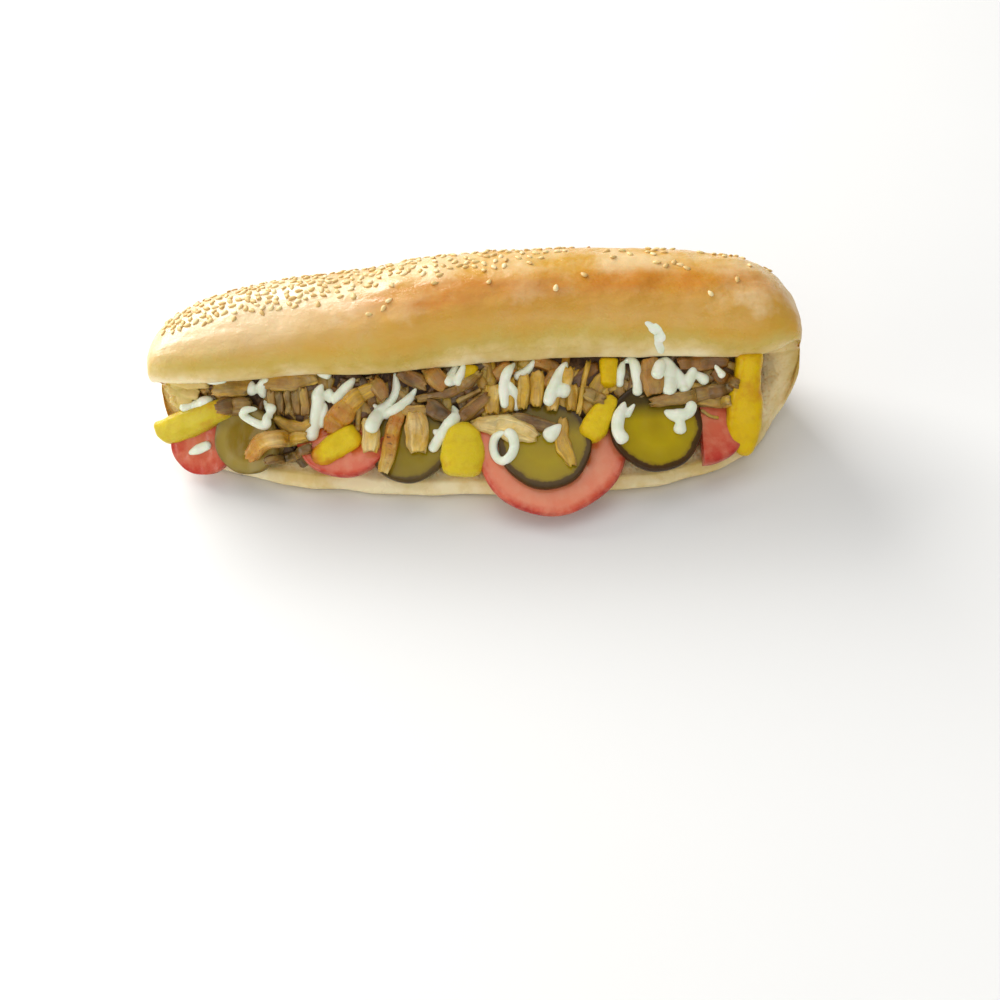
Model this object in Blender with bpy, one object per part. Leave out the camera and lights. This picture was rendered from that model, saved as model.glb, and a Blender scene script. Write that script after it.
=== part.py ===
"""Chicken shawarma sandwich: a long seeded roll, split along its front and still joined at its back,
filled with sliced chicken, chips, pickle slices, tomato slices and drizzled mayonnaise.

Metres, +Z up. X runs along the roll, -Y is the open mouth, and the roll's flat base lies on Z = 0.
Every size below is in millimetres and is turned into metres where a mesh is made."""

import math
import random

import bmesh
import bpy
import numpy as np
from mathutils import Matrix, Vector
from mathutils.bvhtree import BVHTree

MM = 0.001
GAP = 0.35  # clearance between pieces that touch
MIDDLE = (0.65, -7.5)  # the middle of the footprint in the keys below, where the origin is put at the end

# ---------------------------------------------------------------- the roll, in keys of (x, size)
ROLL_ENDS = (-113.5, 115.0)  # where the last whole sections stand; a low dome closes the roll beyond each
DOME = 5.0  # depth of that dome
STATIONS = 36
LID_EDGE_Y = ((-114, -8), (-106, -10.5), (-92, -11.5), (-60, -9.5), (-32, -10.5), (0, -7.5), (30, -7),
              (60, -9), (95, -10.5), (107, -9.5), (115, -6))
LID_EDGE_Z = ((-114, 38), (-100, 38), (0, 38), (100, 38.5), (115, 40.5))
CREST_Z = ((-114, 45.5), (-108, 49.5), (-97, 52.5), (-75, 55.5), (-40, 59.5), (-15, 62.5), (8, 64), (45, 63),
           (75, 61.5), (98, 59), (108, 55.5), (115, 49))
CREST_Y = ((-114, 2), (-95, 8), (0, 11), (95, 9), (115, 3))
BACK_Y = ((-114, 10), (-108, 18), (-95, 27), (-60, 34.5), (0, 38.5), (60, 38), (92, 33), (108, 24.5),
          (115, 14))
LIP_Y = ((-114, -7), (-106, -12), (-95, -20), (-65, -31), (-46, -34), (-28, -37), (0, -40),
         (30, -41.5), (62, -39.5), (80, -35), (96, -27.5), (106, -19), (115, -8))
MOUTH_OPEN = ((-114, 0.12), (-108, 0.4), (-97, 0.95), (-85, 1), (85, 1), (98, 0.95), (107, 0.4), (115, 0.12))
# How far the two ends draw in under the overhanging lid, by height
LEFT_NOTCH = ((0, 5), (12, 3), (22, 4), (31, 6.5), (36, 4.5), (40, 0.8), (44, 0))
RIGHT_NOTCH = ((0, 5), (12, 2.5), (22, 0.5), (31, 2.5), (36, 2.5), (40, 0.6), (43, 0))
NOTCH_REACH = 34.0  # length of the end over which that grows
NOTCH_FADE = (-8.0, 16.0)  # the stretch from front to back over which it fades
BASE_LIFT = ((-114, 3), (-107, 0), (108, 0), (115, 3))
LIP_TOP = 7.5  # height of the lower half's front edge
LID_BULGE = 3.5  # how far the lid's side stands out past its cut edge
HINGE_Z = 24.0  # height of the crease at the back

# ---------------------------------------------------------------- the mouth: a sloping plane, seen face on
MOUTH_TOP = Vector((0, -11, 37))
MOUTH_SLOPE = math.radians(43.6)
DOWN = Vector((0, -math.cos(MOUTH_SLOPE), -math.sin(MOUTH_SLOPE)))
OUT = Vector((0, -math.sin(MOUTH_SLOPE), math.cos(MOUTH_SLOPE)))

PICKLE_THICK = 3.4
TOMATO_THICK = 4.0
CORE_ENDS = (-99.0, 100.0)
CORE_INSET = 0.9  # between the filling and the pocket's wall


def along(x, keys):
    """A smooth curve through the keys, read at x."""
    xs = [k[0] for k in keys]
    vs = [k[1] for k in keys]
    x = min(max(x, xs[0]), xs[-1])
    i = max(j for j in range(len(xs) - 1) if xs[j] <= x)
    slopes = []
    for j in (i, i + 1):
        a, b = max(j - 1, 0), min(j + 1, len(xs) - 1)
        slopes.append((vs[b] - vs[a]) / (xs[b] - xs[a]))
    h = xs[i + 1] - xs[i]
    t = (x - xs[i]) / h
    return (
        (2 * t**3 - 3 * t**2 + 1) * vs[i]
        + (t**3 - 2 * t**2 + t) * h * slopes[0]
        + (3 * t**2 - 2 * t**3) * vs[i + 1]
        + (t**3 - t**2) * h * slopes[1]
    )


def curve_through(points, steps):
    """Catmull-Rom through the points, steps samples a span, without the last point."""
    p = [np.array(q, float) for q in points]
    p = [2 * p[0] - p[1]] + p + [2 * p[-1] - p[-2]]
    made = []
    for i in range(1, len(p) - 2):
        for k in range(steps):
            t = k / steps
            made.append(
                0.5
                * (
                    2 * p[i]
                    + (p[i + 1] - p[i - 1]) * t
                    + (2 * p[i - 1] - 5 * p[i] + 4 * p[i + 1] - p[i + 2]) * t**2
                    + (3 * p[i] - p[i - 1] - 3 * p[i + 1] + p[i + 2]) * t**3
                )
            )
    return made


def quarter(centre, reach, power, start, end, steps):
    """Part of a superellipse about centre, from angle start to end in degrees."""
    made = []
    for k in range(steps):
        a = math.radians(start + (end - start) * k / steps)
        c, s = math.cos(a), math.sin(a)
        made.append(
            np.array(
                (
                    centre[0] + reach[0] * math.copysign(abs(c) ** (2 / power), c),
                    centre[1] + reach[1] * math.copysign(abs(s) ** (2 / power), s),
                )
            )
        )
    return made


def base_lift(x):
    """How high the underside lies at x: nothing but close to the two ends."""
    return max(0.0, along(x, BASE_LIFT))


def edges_of_mouth(x):
    """The lid's cut edge and the lower half's front edge at x, as (y, z)."""
    lid = np.array((along(x, LID_EDGE_Y), along(x, LID_EDGE_Z)))
    lip = np.array((along(x, LIP_Y) + 2.0, LIP_TOP + 0.6 * base_lift(x)))
    return lid, lip


def crust_points(x, fine=1):
    """The outside of the section at x: up over the lid, down the back and forward under the base."""
    lid, lip = edges_of_mouth(x)
    crest = np.array((along(x, CREST_Y), along(x, CREST_Z)))
    back, front = along(x, BACK_Y), lid[0] - LID_BULGE
    side_z = lid[1] + 0.28 * (crest[1] - lid[1])
    back_z = lid[1] - 1.0
    lift = base_lift(x)
    made = curve_through((lid, (front + 0.8, lid[1] + 1.6), (front, side_z)), fine)
    made += quarter((crest[0], side_z), (crest[0] - front, crest[1] - side_z), 2.35, 180, 90, 6 * fine)
    made += quarter((crest[0], back_z), (back - crest[0], crest[1] - back_z), 2.2, 90, 0, 6 * fine)
    waist = 0.11 * (back - crest[0])
    lip_y = along(x, LIP_Y)
    foot = min(1.0, (back - lip_y) / 40)
    made += curve_through(
        (
            (back, back_z),
            (back - 0.4 * waist, HINGE_Z + 6),
            (back - waist, HINGE_Z),
            (back - 0.5 * waist, HINGE_Z - 6),
            (back - 0.6 * waist, 9 + lift),
            (back - 6 * foot, 2 + lift),
            (back - 12 * foot, lift),
        ),
        fine,
    )
    flat_back, flat_front = back - 12 * foot, lip_y + 9 * foot
    for k in range(2 * fine):
        made.append(np.array((flat_back + (flat_front - flat_back) * k / (2 * fine), lift)))
    made += curve_through(
        ((flat_front, lift), (lip_y + 3 * foot, 0.8 + lift), (lip_y, 3.6 + lift), lip), fine
    )
    return made


def crumb_points(x, fine=1):
    """The cut faces at x: back along the lower half, round the pocket and forward under the lid."""
    lid, lip = edges_of_mouth(x)
    back = along(x, BACK_Y) - 10.5
    whole = (
        lip,
        (lip[0] + 10, lip[1] + 1.8),
        (0.45 * lip[0] + 0.55 * back, lip[1] + 1.5),
        (back - 7, lip[1] + 3.5),
        (back, lip[1] + 11),
        (back - 3, lid[1] - 10),
        (back - 13, lid[1] - 4.5),
        (lid[0] + 9, lid[1] - 0.5),
        lid,
    )
    shut = along(x, MOUTH_OPEN)
    made = []
    for k, point in enumerate(whole):
        straight = lip + (lid - lip) * k / (len(whole) - 1)
        dent = 5.0 * math.sin(math.pi * k / (len(whole) - 1))
        straight = straight + np.array((dent, 0))
        made.append(straight + (np.array(point) - straight) * shut)
    return curve_through(made, fine)


def grown(loop, by):
    """The closed loop moved outwards by a distance; it runs clockwise seen from +X."""
    if not by:
        return loop
    made = []
    for i, p in enumerate(loop):
        run = loop[(i + 1) % len(loop)] - loop[i - 1]
        run = run / (np.linalg.norm(run) + 1e-9)
        made.append(p + by * np.array((-run[1], run[0])))
    return made


def loft(rings):
    """A closed mesh over rings of equal length, each a list of points in millimetres, with capped ends."""
    bm = bmesh.new()
    rows = [[bm.verts.new(Vector(p) * MM) for p in ring] for ring in rings]
    n = len(rows[0])
    for a, b in zip(rows, rows[1:]):
        for i in range(n):
            j = (i + 1) % n
            bm.faces.new((a[i], a[j], b[j], b[i]))
    bm.faces.new(rows[0][::-1])
    bm.faces.new(rows[-1])
    bmesh.ops.triangulate(bm, faces=bm.faces[:])
    bmesh.ops.recalc_face_normals(bm, faces=bm.faces[:])
    mesh = bpy.data.meshes.new("loft")
    bm.to_mesh(mesh)
    bm.free()
    return mesh


def notched(point):
    """A point of the roll's end, drawn in under the lid, less so towards the joined back."""
    x, y, z = point
    keys, end = (LEFT_NOTCH, ROLL_ENDS[0]) if x < 0 else (RIGHT_NOTCH, ROLL_ENDS[1])
    near = max(0.0, 1 - abs(end - x) / NOTCH_REACH) if abs(x) < abs(end) else 1.0
    front = min(1.0, max(0.0, (NOTCH_FADE[1] - y) / (NOTCH_FADE[1] - NOTCH_FADE[0])))
    share = 0.3 + 0.7 * front * front * (3 - 2 * front)
    return x - math.copysign(along(z, keys) * share * near * near, x), y, z


def roll_rings(section, stations, ends=ROLL_ENDS, dome=DOME, by=0.0):
    """Rings of a section function along the roll, with a dome past each end."""
    half, mid = (ends[1] - ends[0]) / 2, (ends[1] + ends[0]) / 2
    rings = []
    for k in range(stations):
        x = mid + half * math.sin(1.2 * (2 * k / (stations - 1) - 1)) / math.sin(1.2)
        rings.append([(x, p[0], p[1]) for p in grown(section(x), by)])
    for side, x_end in zip((-1, 1), ends):
        last = grown(section(x_end), by)
        centre = sum(last) / len(last)
        caps = []
        for turn in (25, 50, 72, 87):
            shrink, past = math.cos(math.radians(turn)), math.sin(math.radians(turn))
            x = x_end + side * (dome + by) * past
            caps.append([(x, *(centre + (p - centre) * shrink)) for p in last])
        rings = caps[::-1] + rings if side < 0 else rings + caps
    return [[notched(p) for p in ring] for ring in rings]


def roll_section(x):
    return crust_points(x) + crumb_points(x)


def mouth_depth(x, down):
    """How far the straight line between the mouth's two edges lies in front of the mouth plane."""
    lid, lip = edges_of_mouth(min(max(x, -108), 108))
    start = MOUTH_TOP + DOWN * down
    p, o, d = (start.y, start.z), (OUT.y, OUT.z), lip - lid
    cross = o[0] * d[1] - o[1] * d[0]
    return ((lid[0] - p[0]) * d[1] - (lid[1] - p[1]) * d[0]) / cross


def in_mouth(x, down, lift=0.0):
    """A point x along the roll and down the mouth's face, lift above its surface, in millimetres."""
    return MOUTH_TOP + Vector((x, 0, 0)) + DOWN * down + OUT * (mouth_depth(x, down) + lift)


def mouth_axes(x, down):
    """The surface's right, down and out directions at a place in the mouth."""
    right = (in_mouth(x + 4, down) - in_mouth(x - 4, down)).normalized()
    below = (in_mouth(x, down + 4) - in_mouth(x, down - 4)).normalized()
    out = below.cross(right).normalized()
    return right, out.cross(right) * -1, out


# ---------------------------------------------------------------- what the filling is made of
def ring_about(centre, side, up, half_side, half_up, sides, by, turn=0.0):
    ring = []
    for k in range(sides):
        a = turn + 2 * math.pi * k / sides
        ring.append(centre + side * (half_side + by) * math.cos(a) + up * (half_up + by) * math.sin(a))
    return ring


def bar(path, half_wide, half_thick, sides=6, by=0.0, turn=0.0):
    """A bar along a path of points, its width towards the mouth's sides, with blunt ends."""
    points = [Vector(p) for p in path]
    last = len(points) - 1
    rings = []
    for i, p in enumerate(points):
        run = (points[min(i + 1, last)] - points[max(i - 1, 0)]).normalized()
        side = run.cross(OUT).normalized()
        up = side.cross(run).normalized()
        outward = -run if i == 0 else run
        ring = ring_about(p, side, up, half_wide, half_thick, sides, by, turn)
        if i in (0, last):
            ring = [q - outward * half_thick * 0.5 for q in ring]
            tip = ring_about(p + outward * by, side, up, half_wide * 0.6, half_thick * 0.6, sides, by, turn)
            rings += [tip, ring] if i == 0 else [ring, tip]
        else:
            rings.append(ring)
    return loft(rings)


def disc(centre, axes, radius, thick, by=0.0, wedge=None, sides=18):
    """A slice with soft edges; axes are (right, down, out), and wedge keeps a range of angles."""
    right, down, out = axes
    rim = []
    if wedge:
        count = sides // 2
        for k in range(count + 1):
            a = math.radians(wedge[0] + (wedge[1] - wedge[0]) * k / count)
            rim.append((math.cos(a) * radius, math.sin(a) * radius))
        middle = Vector((sum(q[0] for q in rim), sum(q[1] for q in rim))) / len(rim)
    else:
        rim = [
            (math.cos(2 * math.pi * k / sides) * radius, math.sin(2 * math.pi * k / sides) * radius)
            for k in range(sides)
        ]
        middle = Vector((0, 0))
    rings = []
    for level, inset in ((-0.5, 0.7), (0.0, 0), (0.5, 0.7)):
        ring = []
        for q in rim:
            v = Vector(q) - middle
            v = v * (1 + (by - inset) / v.length) + middle
            height = level * (thick + 2 * by)
            ring.append(centre + right * v.x + down * v.y + out * height)
        rings.append(ring)
    return loft(rings)


def tilted(axes, top_in=0.0, right_in=0.0):
    """Axes with the slice's top pushed in by an angle in degrees, and its right side by another."""
    right, down, out = axes
    a, b = math.radians(top_in), math.radians(right_in)
    down, out = down * math.cos(a) + out * math.sin(a), out * math.cos(a) - down * math.sin(a)
    right, out = right * math.cos(b) - out * math.sin(b), out * math.cos(b) + right * math.sin(b)
    return right, down, out


# Slices: x, down the mouth, lift, radius, top pushed in, right side pushed in
PICKLES = (
    (-81.5, 21, 3.4, 12.6, 12, -4),
    (-23, 25, 2.2, 14.4, 17, 0),
    (25, 28, 4.6, 16.4, 19, 2),
    (64, 23, 4.0, 16.4, 16, 0),
)
TOMATOES = (
    (-99, 20.5, 4.0, 12.2, 24, 20, None),
    (-46, 19, -0.8, 18.0, 28, 0, None),
    (27, 27, 0.6, 27.0, 17, 3, None),
    (80, 21, 0.6, 17.0, 24, 0, (-88, 92)),
)
# Chips: both ends as (x, down, lift), half thickness, and the outline as (share of the length, reach to the
# left, reach to the right), seen from outside with the first end nearest
CHIPS = (
    (
        (-116.2, 16.6, 4.4), (-86, 9.3, 2.2), 4.8,
        ((0, 4.6, 0.8), (0.04, 4.8, 2.4), (0.11, 4.9, 5.4), (0.4, 5.0, 5.2), (0.8, 4.5, 3.8), (1, 3.6, 3.0)),
    ),
    (
        (-57.8, 29.6, 4.6), (-41.5, 19.0, 1.5), 5.0,
        ((0, 1.6, 1.8), (0.08, 2.7, 3.3), (0.22, 3.5, 5.0), (0.5, 3.9, 5.8), (0.85, 3.5, 6.2), (1, 2.8, 5.4)),
    ),
    (
        (-5.0, 37.5, 5.5), (-3.0, 18.4, 2.0), 5.6,
        ((0, 5.0, 5.0), (0.08, 7.0, 7.0), (0.3, 8.0, 7.9), (0.6, 7.5, 7.2), (0.82, 5.9, 5.9), (1, 1.6, 1.8)),
    ),
    (
        (39.3, 26.5, 3.4), (50.0, 12.0, 0.8), 5.0,
        ((0, 3.4, 3.6), (0.1, 4.3, 4.6), (0.3, 4.9, 5.2), (0.6, 4.6, 3.9), (0.85, 3.4, 2.9), (1, 1.8, 1.8)),
    ),
    (
        (95.6, 34.6, 6.2), (97.8, -1.6, 2.0), 5.2,
        ((0, 1.6, 1.6), (0.07, 4.3, 3.6), (0.17, 6.2, 4.9), (0.3, 7.1, 5.5), (0.54, 7.3, 5.3),
         (0.69, 5.3, 4.6), (1, 4.3, 4.3)),
    ),
    ((48.2, 8.6, 1.4), (49.0, -2.0, -1.5), 3.2, ((0, 2.0, 2.0), (0.12, 3.1, 3.1), (1, 3.3, 3.3))),
    ((-2.6, 6.4, 1.0), (-0.4, -2.0, -1.5), 3.0, ((0, 1.8, 1.8), (0.14, 2.8, 2.8), (1, 3.0, 3.0))),
)
# Chicken: points as (x, down, lift), half width, half thickness
CHICKEN = (
    (((-91, 4.0, 0.8), (-78, 3.0, 1.0)), 2.8, 1.8),
    (((-90, 9.5, 1.0), (-80, 10.5, 1.2)), 3.2, 2.2),
    (((-73, 2.0, 1.2), (-59, 2.5, 1.2)), 2.8, 1.8),
    (((-70.5, 3.5, 0.8), (-70, 14.0, 1.2)), 2.1, 2.0),
    (((-66, 3.5, 1.2), (-65.5, 14.5, 1.4)), 2.1, 2.0),
    (((-61.5, 4.0, 1.0), (-61, 15.0, 1.0)), 2.1, 2.0),
    (((-57, 5.0, 0.8), (-57, 16.0, 0.8)), 2.0, 2.0),
    (((-73, 15.5, 1.8), (-60, 16.5, 1.8)), 2.9, 2.2),
    (((-81, 24.5, 2.4), (-73, 23.0, 3.0), (-59, 22.0, 1.4)), 3.6, 2.4),
    (((-55, 22.0, 2.2), (-47, 14.0, 3.4), (-33, 3.0, 1.6)), 3.6, 2.4),
    (((-25, 9.0, 1.0), (-28, 22.0, 3.0), (-31, 33.0, 2.0)), 2.4, 2.2),
    (((-18.5, 8.5, 1.0), (-19, 18.0, 3.0), (-20, 28.0, 2.0)), 4.2, 2.2),
    (((-37, 22.0, 2.0), (-37, 28.5, 2.4)), 3.4, 2.6),
    (((-20, 10.5, 1.6), (-11, 11.0, 2.2), (-1, 5.5, 1.4)), 1.7, 1.6),
    (((-13, 0.5, 0.8), (-13, 7.5, 1.0)), 3.2, 2.0),
    (((-24, -0.5, 0.6), (-24, 6.0, 0.8)), 2.6, 1.8),
    (((8, 5.5, 1.2), (7, 15.0, 1.4)), 2.8, 2.0),
    (((19, 3.0, 1.2), (18, 15.5, 1.4)), 3.6, 2.2),
    (((24.5, 1.0, 1.0), (24, 13.0, 1.2)), 2.0, 1.8),
    (((1, 19.0, 1.6), (8, 20.5, 3.0), (20, 24.0, 3.0)), 4.4, 2.0),
    (((6, 15.5, 1.4), (16, 17.5, 2.0), (29, 18.5, 2.2)), 2.2, 1.8),
    (((36, -0.5, 0.6), (35, 12.5, 1.4)), 2.3, 1.8),
    (((42, -0.5, 0.6), (38, 15.0, 1.6)), 1.8, 1.6),
    (((31, 10.5, 0.8), (32.5, 22.0, 3.0), (34, 35.5, 3.0)), 2.5, 1.6),
    (((64, 0.5, 0.8), (64, 12.0, 1.2)), 4.2, 2.4),
    (((62, 14.5, 1.4), (76, 12.5, 2.0), (92, 9.5, 1.4)), 3.0, 2.0),
    (((74, 1.5, 0.8), (84, 2.5, 1.0)), 3.0, 1.8),
)
# Mayonnaise: strokes over the filling as (x, down), with the strand's radius
DRIZZLE = (
    (((-105, 8), (-98, 6.5), (-92.5, 4.5), (-88, 1)), 1.7),
    (((-78, 0.8), (-79, 6.5)), 1.8),
    (((-74, 0.6), (-74, 5.5), (-70, 12), (-73.5, 16.5)), 1.8),
    (((-74, 17), (-78, 15.5), (-82, 12.5)), 1.7),
    (((-55, 4), (-55.5, 9)), 2.9),
    (((-41, 1.5), (-45, 6), (-54, 9)), 2.1),
    (((-56, 9), (-57, 16), (-58, 24)), 2.0),
    (((-27, 0.6), (-26, 5), (-34, 12.5)), 1.9),
    (((-19, 4.5), (-23, 11.5), (-33, 16)), 1.9),
    (((-35, 10.5), (-36, 16), (-36.5, 23)), 2.7),
    (((-7, 12), (-4, 16), (-10, 22), (-14, 29)), 2.0),
    (((-3, -0.5), (-8, 5.5)), 2.5),
    (((22, 0), (19, 3), (10, 3.5)), 1.8),
    (((15, 1), (12, 7), (11, 14)), 1.8),
    (((13.5, 6), (15.5, 16)), 1.8),
    (((34, 0), (30, 5), (27, 14.5)), 2.1),
    (((29, 11), (34, 9.5), (35, 12)), 2.2),
    (((12, 22), (7.5, 26), (9.5, 33)), 1.7),
    (((12, 22), (15, 27), (9.5, 33)), 1.7),
    (((31, 21), (22.5, 27.5)), 2.1),
    (((53, 9), (55.5, 1.5), (58.5, 4), (58.5, 12)), 1.8),
    (((63, 8), (66, 2), (70, 13)), 2.6),
    (((69, 1), (75, 12), (79, 4), (83.5, 8)), 1.7),
)
DRIZZLE_ON_PICKLE = (
    (((54, 14.5), (50.5, 20), (51, 26), (53.5, 29)), 2.0),
    (((66, 17.5), (71, 19.5), (77, 15)), 2.0),
    (((71, 19.5), (70.5, 27)), 2.0),
)
DRIZZLE_SINK = 0.35  # share of a strand's radius that lies in what carries it

# ---------------------------------------------------------------- sesame seeds
SEED_LONG, SEED_WIDE, SEED_HIGH = 3.4, 2.2, 1.7
SEED_SINK = 0.25  # how far below the crust a seed's middle lies
SEED_COUNT = 130
SEED_SPACE = 3.9  # least distance between two seeds
DENSE_X = (-104, 44)  # the stretch of the lid where the seeds lie close


def joint_tree(meshes):
    """One tree over meshes, for ray casts and overlap tests, in metres."""
    bm = bmesh.new()
    for mesh in meshes:
        bm.from_mesh(mesh)
    tree = BVHTree.FromBMesh(bm)
    bm.free()
    return tree


def largest_body(mesh):
    """Drops every loose scrap and sealed hollow, and keeps the body with most faces."""
    bm = bmesh.new()
    bm.from_mesh(mesh)
    bmesh.ops.triangulate(bm, faces=bm.faces[:])
    left, found = set(bm.faces), []
    while left:
        seed = left.pop()
        body, edge = {seed}, [seed]
        while edge:
            for e in edge.pop().edges:
                for f in e.link_faces:
                    if f in left and len(e.link_faces) == 2:
                        left.remove(f)
                        body.add(f)
                        edge.append(f)
        found.append(body)
    keep = max(found, key=len)
    bmesh.ops.delete(bm, geom=[f for f in bm.faces if f not in keep], context="FACES")
    bmesh.ops.delete(bm, geom=[v for v in bm.verts if not v.link_faces], context="VERTS")
    bm.to_mesh(mesh)
    bm.free()


def combine(ob, meshes, operation, solver="EXACT"):
    """One Boolean of ob with a collection of meshes, applied, with the collection then removed."""
    if not meshes:
        return
    group = bpy.data.collections.new("operands")
    bpy.context.scene.collection.children.link(group)
    parts = [bpy.data.objects.new("operand", mesh) for mesh in meshes]
    for part in parts:
        group.objects.link(part)
    modifier = ob.modifiers.new("combine", "BOOLEAN")
    modifier.operation = operation
    modifier.operand_type = "COLLECTION"
    modifier.collection = group
    modifier.solver = solver
    bpy.context.view_layer.objects.active = ob
    bpy.ops.object.modifier_apply(modifier=modifier.name)
    for part in parts:
        bpy.data.objects.remove(part)
    bpy.data.collections.remove(group)
    largest_body(ob.data)


def add_object(name, mesh, colour, roughness):
    material = bpy.data.materials.new(name)
    material.use_nodes = True
    shader = material.node_tree.nodes["Principled BSDF"]
    shader.inputs["Base Color"].default_value = (*colour, 1)
    shader.inputs["Roughness"].default_value = roughness
    mesh.name = name
    mesh.materials.append(material)
    ob = bpy.data.objects.new(name, mesh)
    bpy.context.scene.collection.objects.link(ob)
    return ob


def height_in_mouth(tree, x, down):
    """How high the tree's surface lies over a place in the mouth."""
    hit = tree.ray_cast(in_mouth(x, down, 40) * MM, -OUT, 0.08)[0]
    return (hit / MM - in_mouth(x, down)).dot(OUT) if hit else -9.0


def over(tree, path, half_thick):
    """A strip's (x, down, lift) path, raised where it crosses what already lies in the mouth."""
    steps = curve_through(path, 1 if len(path) > 2 else 2) + [np.array(path[-1], float)]
    return [
        in_mouth(x, down, max(lift, height_in_mouth(tree, x, down) + GAP + 0.9 * half_thick))
        for x, down, lift in steps
    ]


def placed(path, tree, sink=0.0):
    """A path of (x, down) laid on the tree's surface, as points."""
    flat = curve_through(path, 1 if len(path) > 2 else 2) + [np.array(path[-1], float)]
    heights = [max(height_in_mouth(tree, x, down), 0.0) for x, down in flat]
    eased = []
    for i, height in enumerate(heights):
        near = heights[max(i - 1, 0) : i + 2]
        eased.append(max(height - 0.6, sum(near) / len(near)))
    return [in_mouth(x, down, height + sink) for (x, down), height in zip(flat, eased)]


def pickle_slice(x, down, lift, radius, top_in, right_in, by=0.0):
    axes = tilted(mouth_axes(x, down), top_in, right_in)
    return disc(in_mouth(x, down, lift), axes, radius, PICKLE_THICK, by)


def tomato_slice(x, down, lift, radius, top_in, right_in, wedge, by=0.0):
    axes = tilted(mouth_axes(x, down), top_in, right_in)
    return disc(in_mouth(x, down, lift), axes, radius, TOMATO_THICK, by, wedge)


def chip(start, end, half_thick, outline, by=0.0):
    """A chip between two places of the mouth, its two sides as the outline says, thinner at its ends."""
    a, b = in_mouth(*start), in_mouth(*end)
    run = (b - a).normalized()
    side = run.cross(OUT).normalized()
    up = side.cross(run)
    rings = []
    for share, left, right in outline:
        past = by * (2 * share - 1) if share in (0, 1) else 0.0
        centre = a.lerp(b, share) + side * (right - left) / 2 + run * past
        thick = half_thick * (0.7 if share in (0, 1) else 1.0)
        rings.append(ring_about(centre, side, up, (left + right) / 2, thick, 8, by, math.pi / 8))
    return loft(rings)


def strand(points, radius, by=0.0):
    return bar(points, radius, radius * 0.85, 5, by, math.pi / 2)


def core_section(x):
    """The packed filling behind what shows: the pocket's own section, drawn in by the clearance."""
    lid, lip = edges_of_mouth(x)
    wall = grown(crust_points(x) + crumb_points(x, 2), CORE_INSET)[len(crust_points(x)) :]
    bottom = [p for p in wall[: len(wall) // 2] if p[0] > lip[0] + 9]
    top = [p for p in wall[len(wall) // 2 :] if p[0] > lid[0] + 2.5]
    low, high = bottom[0], top[-1]
    face = []
    for k in range(1, 4):
        t = k / 4
        bump = 1.1 * math.sin(0.31 * x + 2.1 * k) + 0.8 * math.sin(0.53 * x - 1.3 * k)
        place = high * (1 - t) + low * t
        out = np.array((OUT.y, OUT.z))
        face.append(place + out * (bump + 4.5 * math.sin(math.pi * t)))
    return resampled(bottom, 5) + resampled(top, 5) + face


def resampled(points, count):
    """The open line through the points, cut into count equal steps."""
    steps = [0.0]
    for a, b in zip(points, points[1:]):
        steps.append(steps[-1] + float(np.linalg.norm(b - a)))
    made = []
    for k in range(count):
        at = steps[-1] * k / (count - 1)
        i = max(j for j in range(len(steps) - 1) if steps[j] <= at + 1e-9)
        t = (at - steps[i]) / (steps[i + 1] - steps[i])
        made.append(points[i] * (1 - t) + points[i + 1] * t)
    return made


def seed_places():
    """Seeded random places on the lid, as (x, angle over the lid), dense on its top and left."""
    chance = random.Random(11)
    places = []
    while len(places) < SEED_COUNT:
        x = chance.uniform(-106, 107)
        angle = chance.gauss(82, 22)
        dense = DENSE_X[0] < x < DENSE_X[1]
        if not 25 < angle < (122 if dense else 130) or (not dense and chance.random() > 0.3):
            continue
        if all(math.hypot(x - px, 0.42 * (angle - pa)) > SEED_SPACE for px, pa in places):
            places.append((x, angle))
    return places


def on_lid(x, angle):
    """A point of the lid's crust and its outward normal; 90 degrees is the crest, more is to the front."""
    points = crust_points(x, 4)[8:56]
    crest = np.array((along(x, CREST_Y), along(x, LID_EDGE_Z)))
    turns = [math.degrees(math.atan2(p[1] - crest[1], p[0] - crest[0])) for p in points]
    i = min(range(1, len(points) - 1), key=lambda k: abs(turns[k] - angle))
    run = points[i + 1] - points[i - 1]
    normal = Vector((0, -run[1], run[0])).normalized()
    return Vector((x, *points[i])), normal


def seed(x, angle, turn):
    """One seed: a flat pointed drop lying on the crust, half sunk."""
    place, normal = on_lid(x, angle)
    place = place - normal * SEED_SINK
    other = Vector((1, 0, 0)).cross(normal)
    long_way = Vector((1, 0, 0)) * math.cos(turn) + other * math.sin(turn)
    wide_way = normal.cross(long_way)
    bm = bmesh.new()
    tips = []
    for way, size in ((long_way, SEED_LONG), (wide_way, SEED_WIDE), (normal, SEED_HIGH)):
        tips.append([bm.verts.new((place + way * (side * size / 2)) * MM) for side in (-1, 1)])
    for a in tips[0]:
        for b in tips[1]:
            for c in tips[2]:
                bm.faces.new((a, b, c))
    bmesh.ops.recalc_face_normals(bm, faces=bm.faces[:])
    mesh = bpy.data.meshes.new("seed")
    bm.to_mesh(mesh)
    bm.free()
    return mesh


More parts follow.
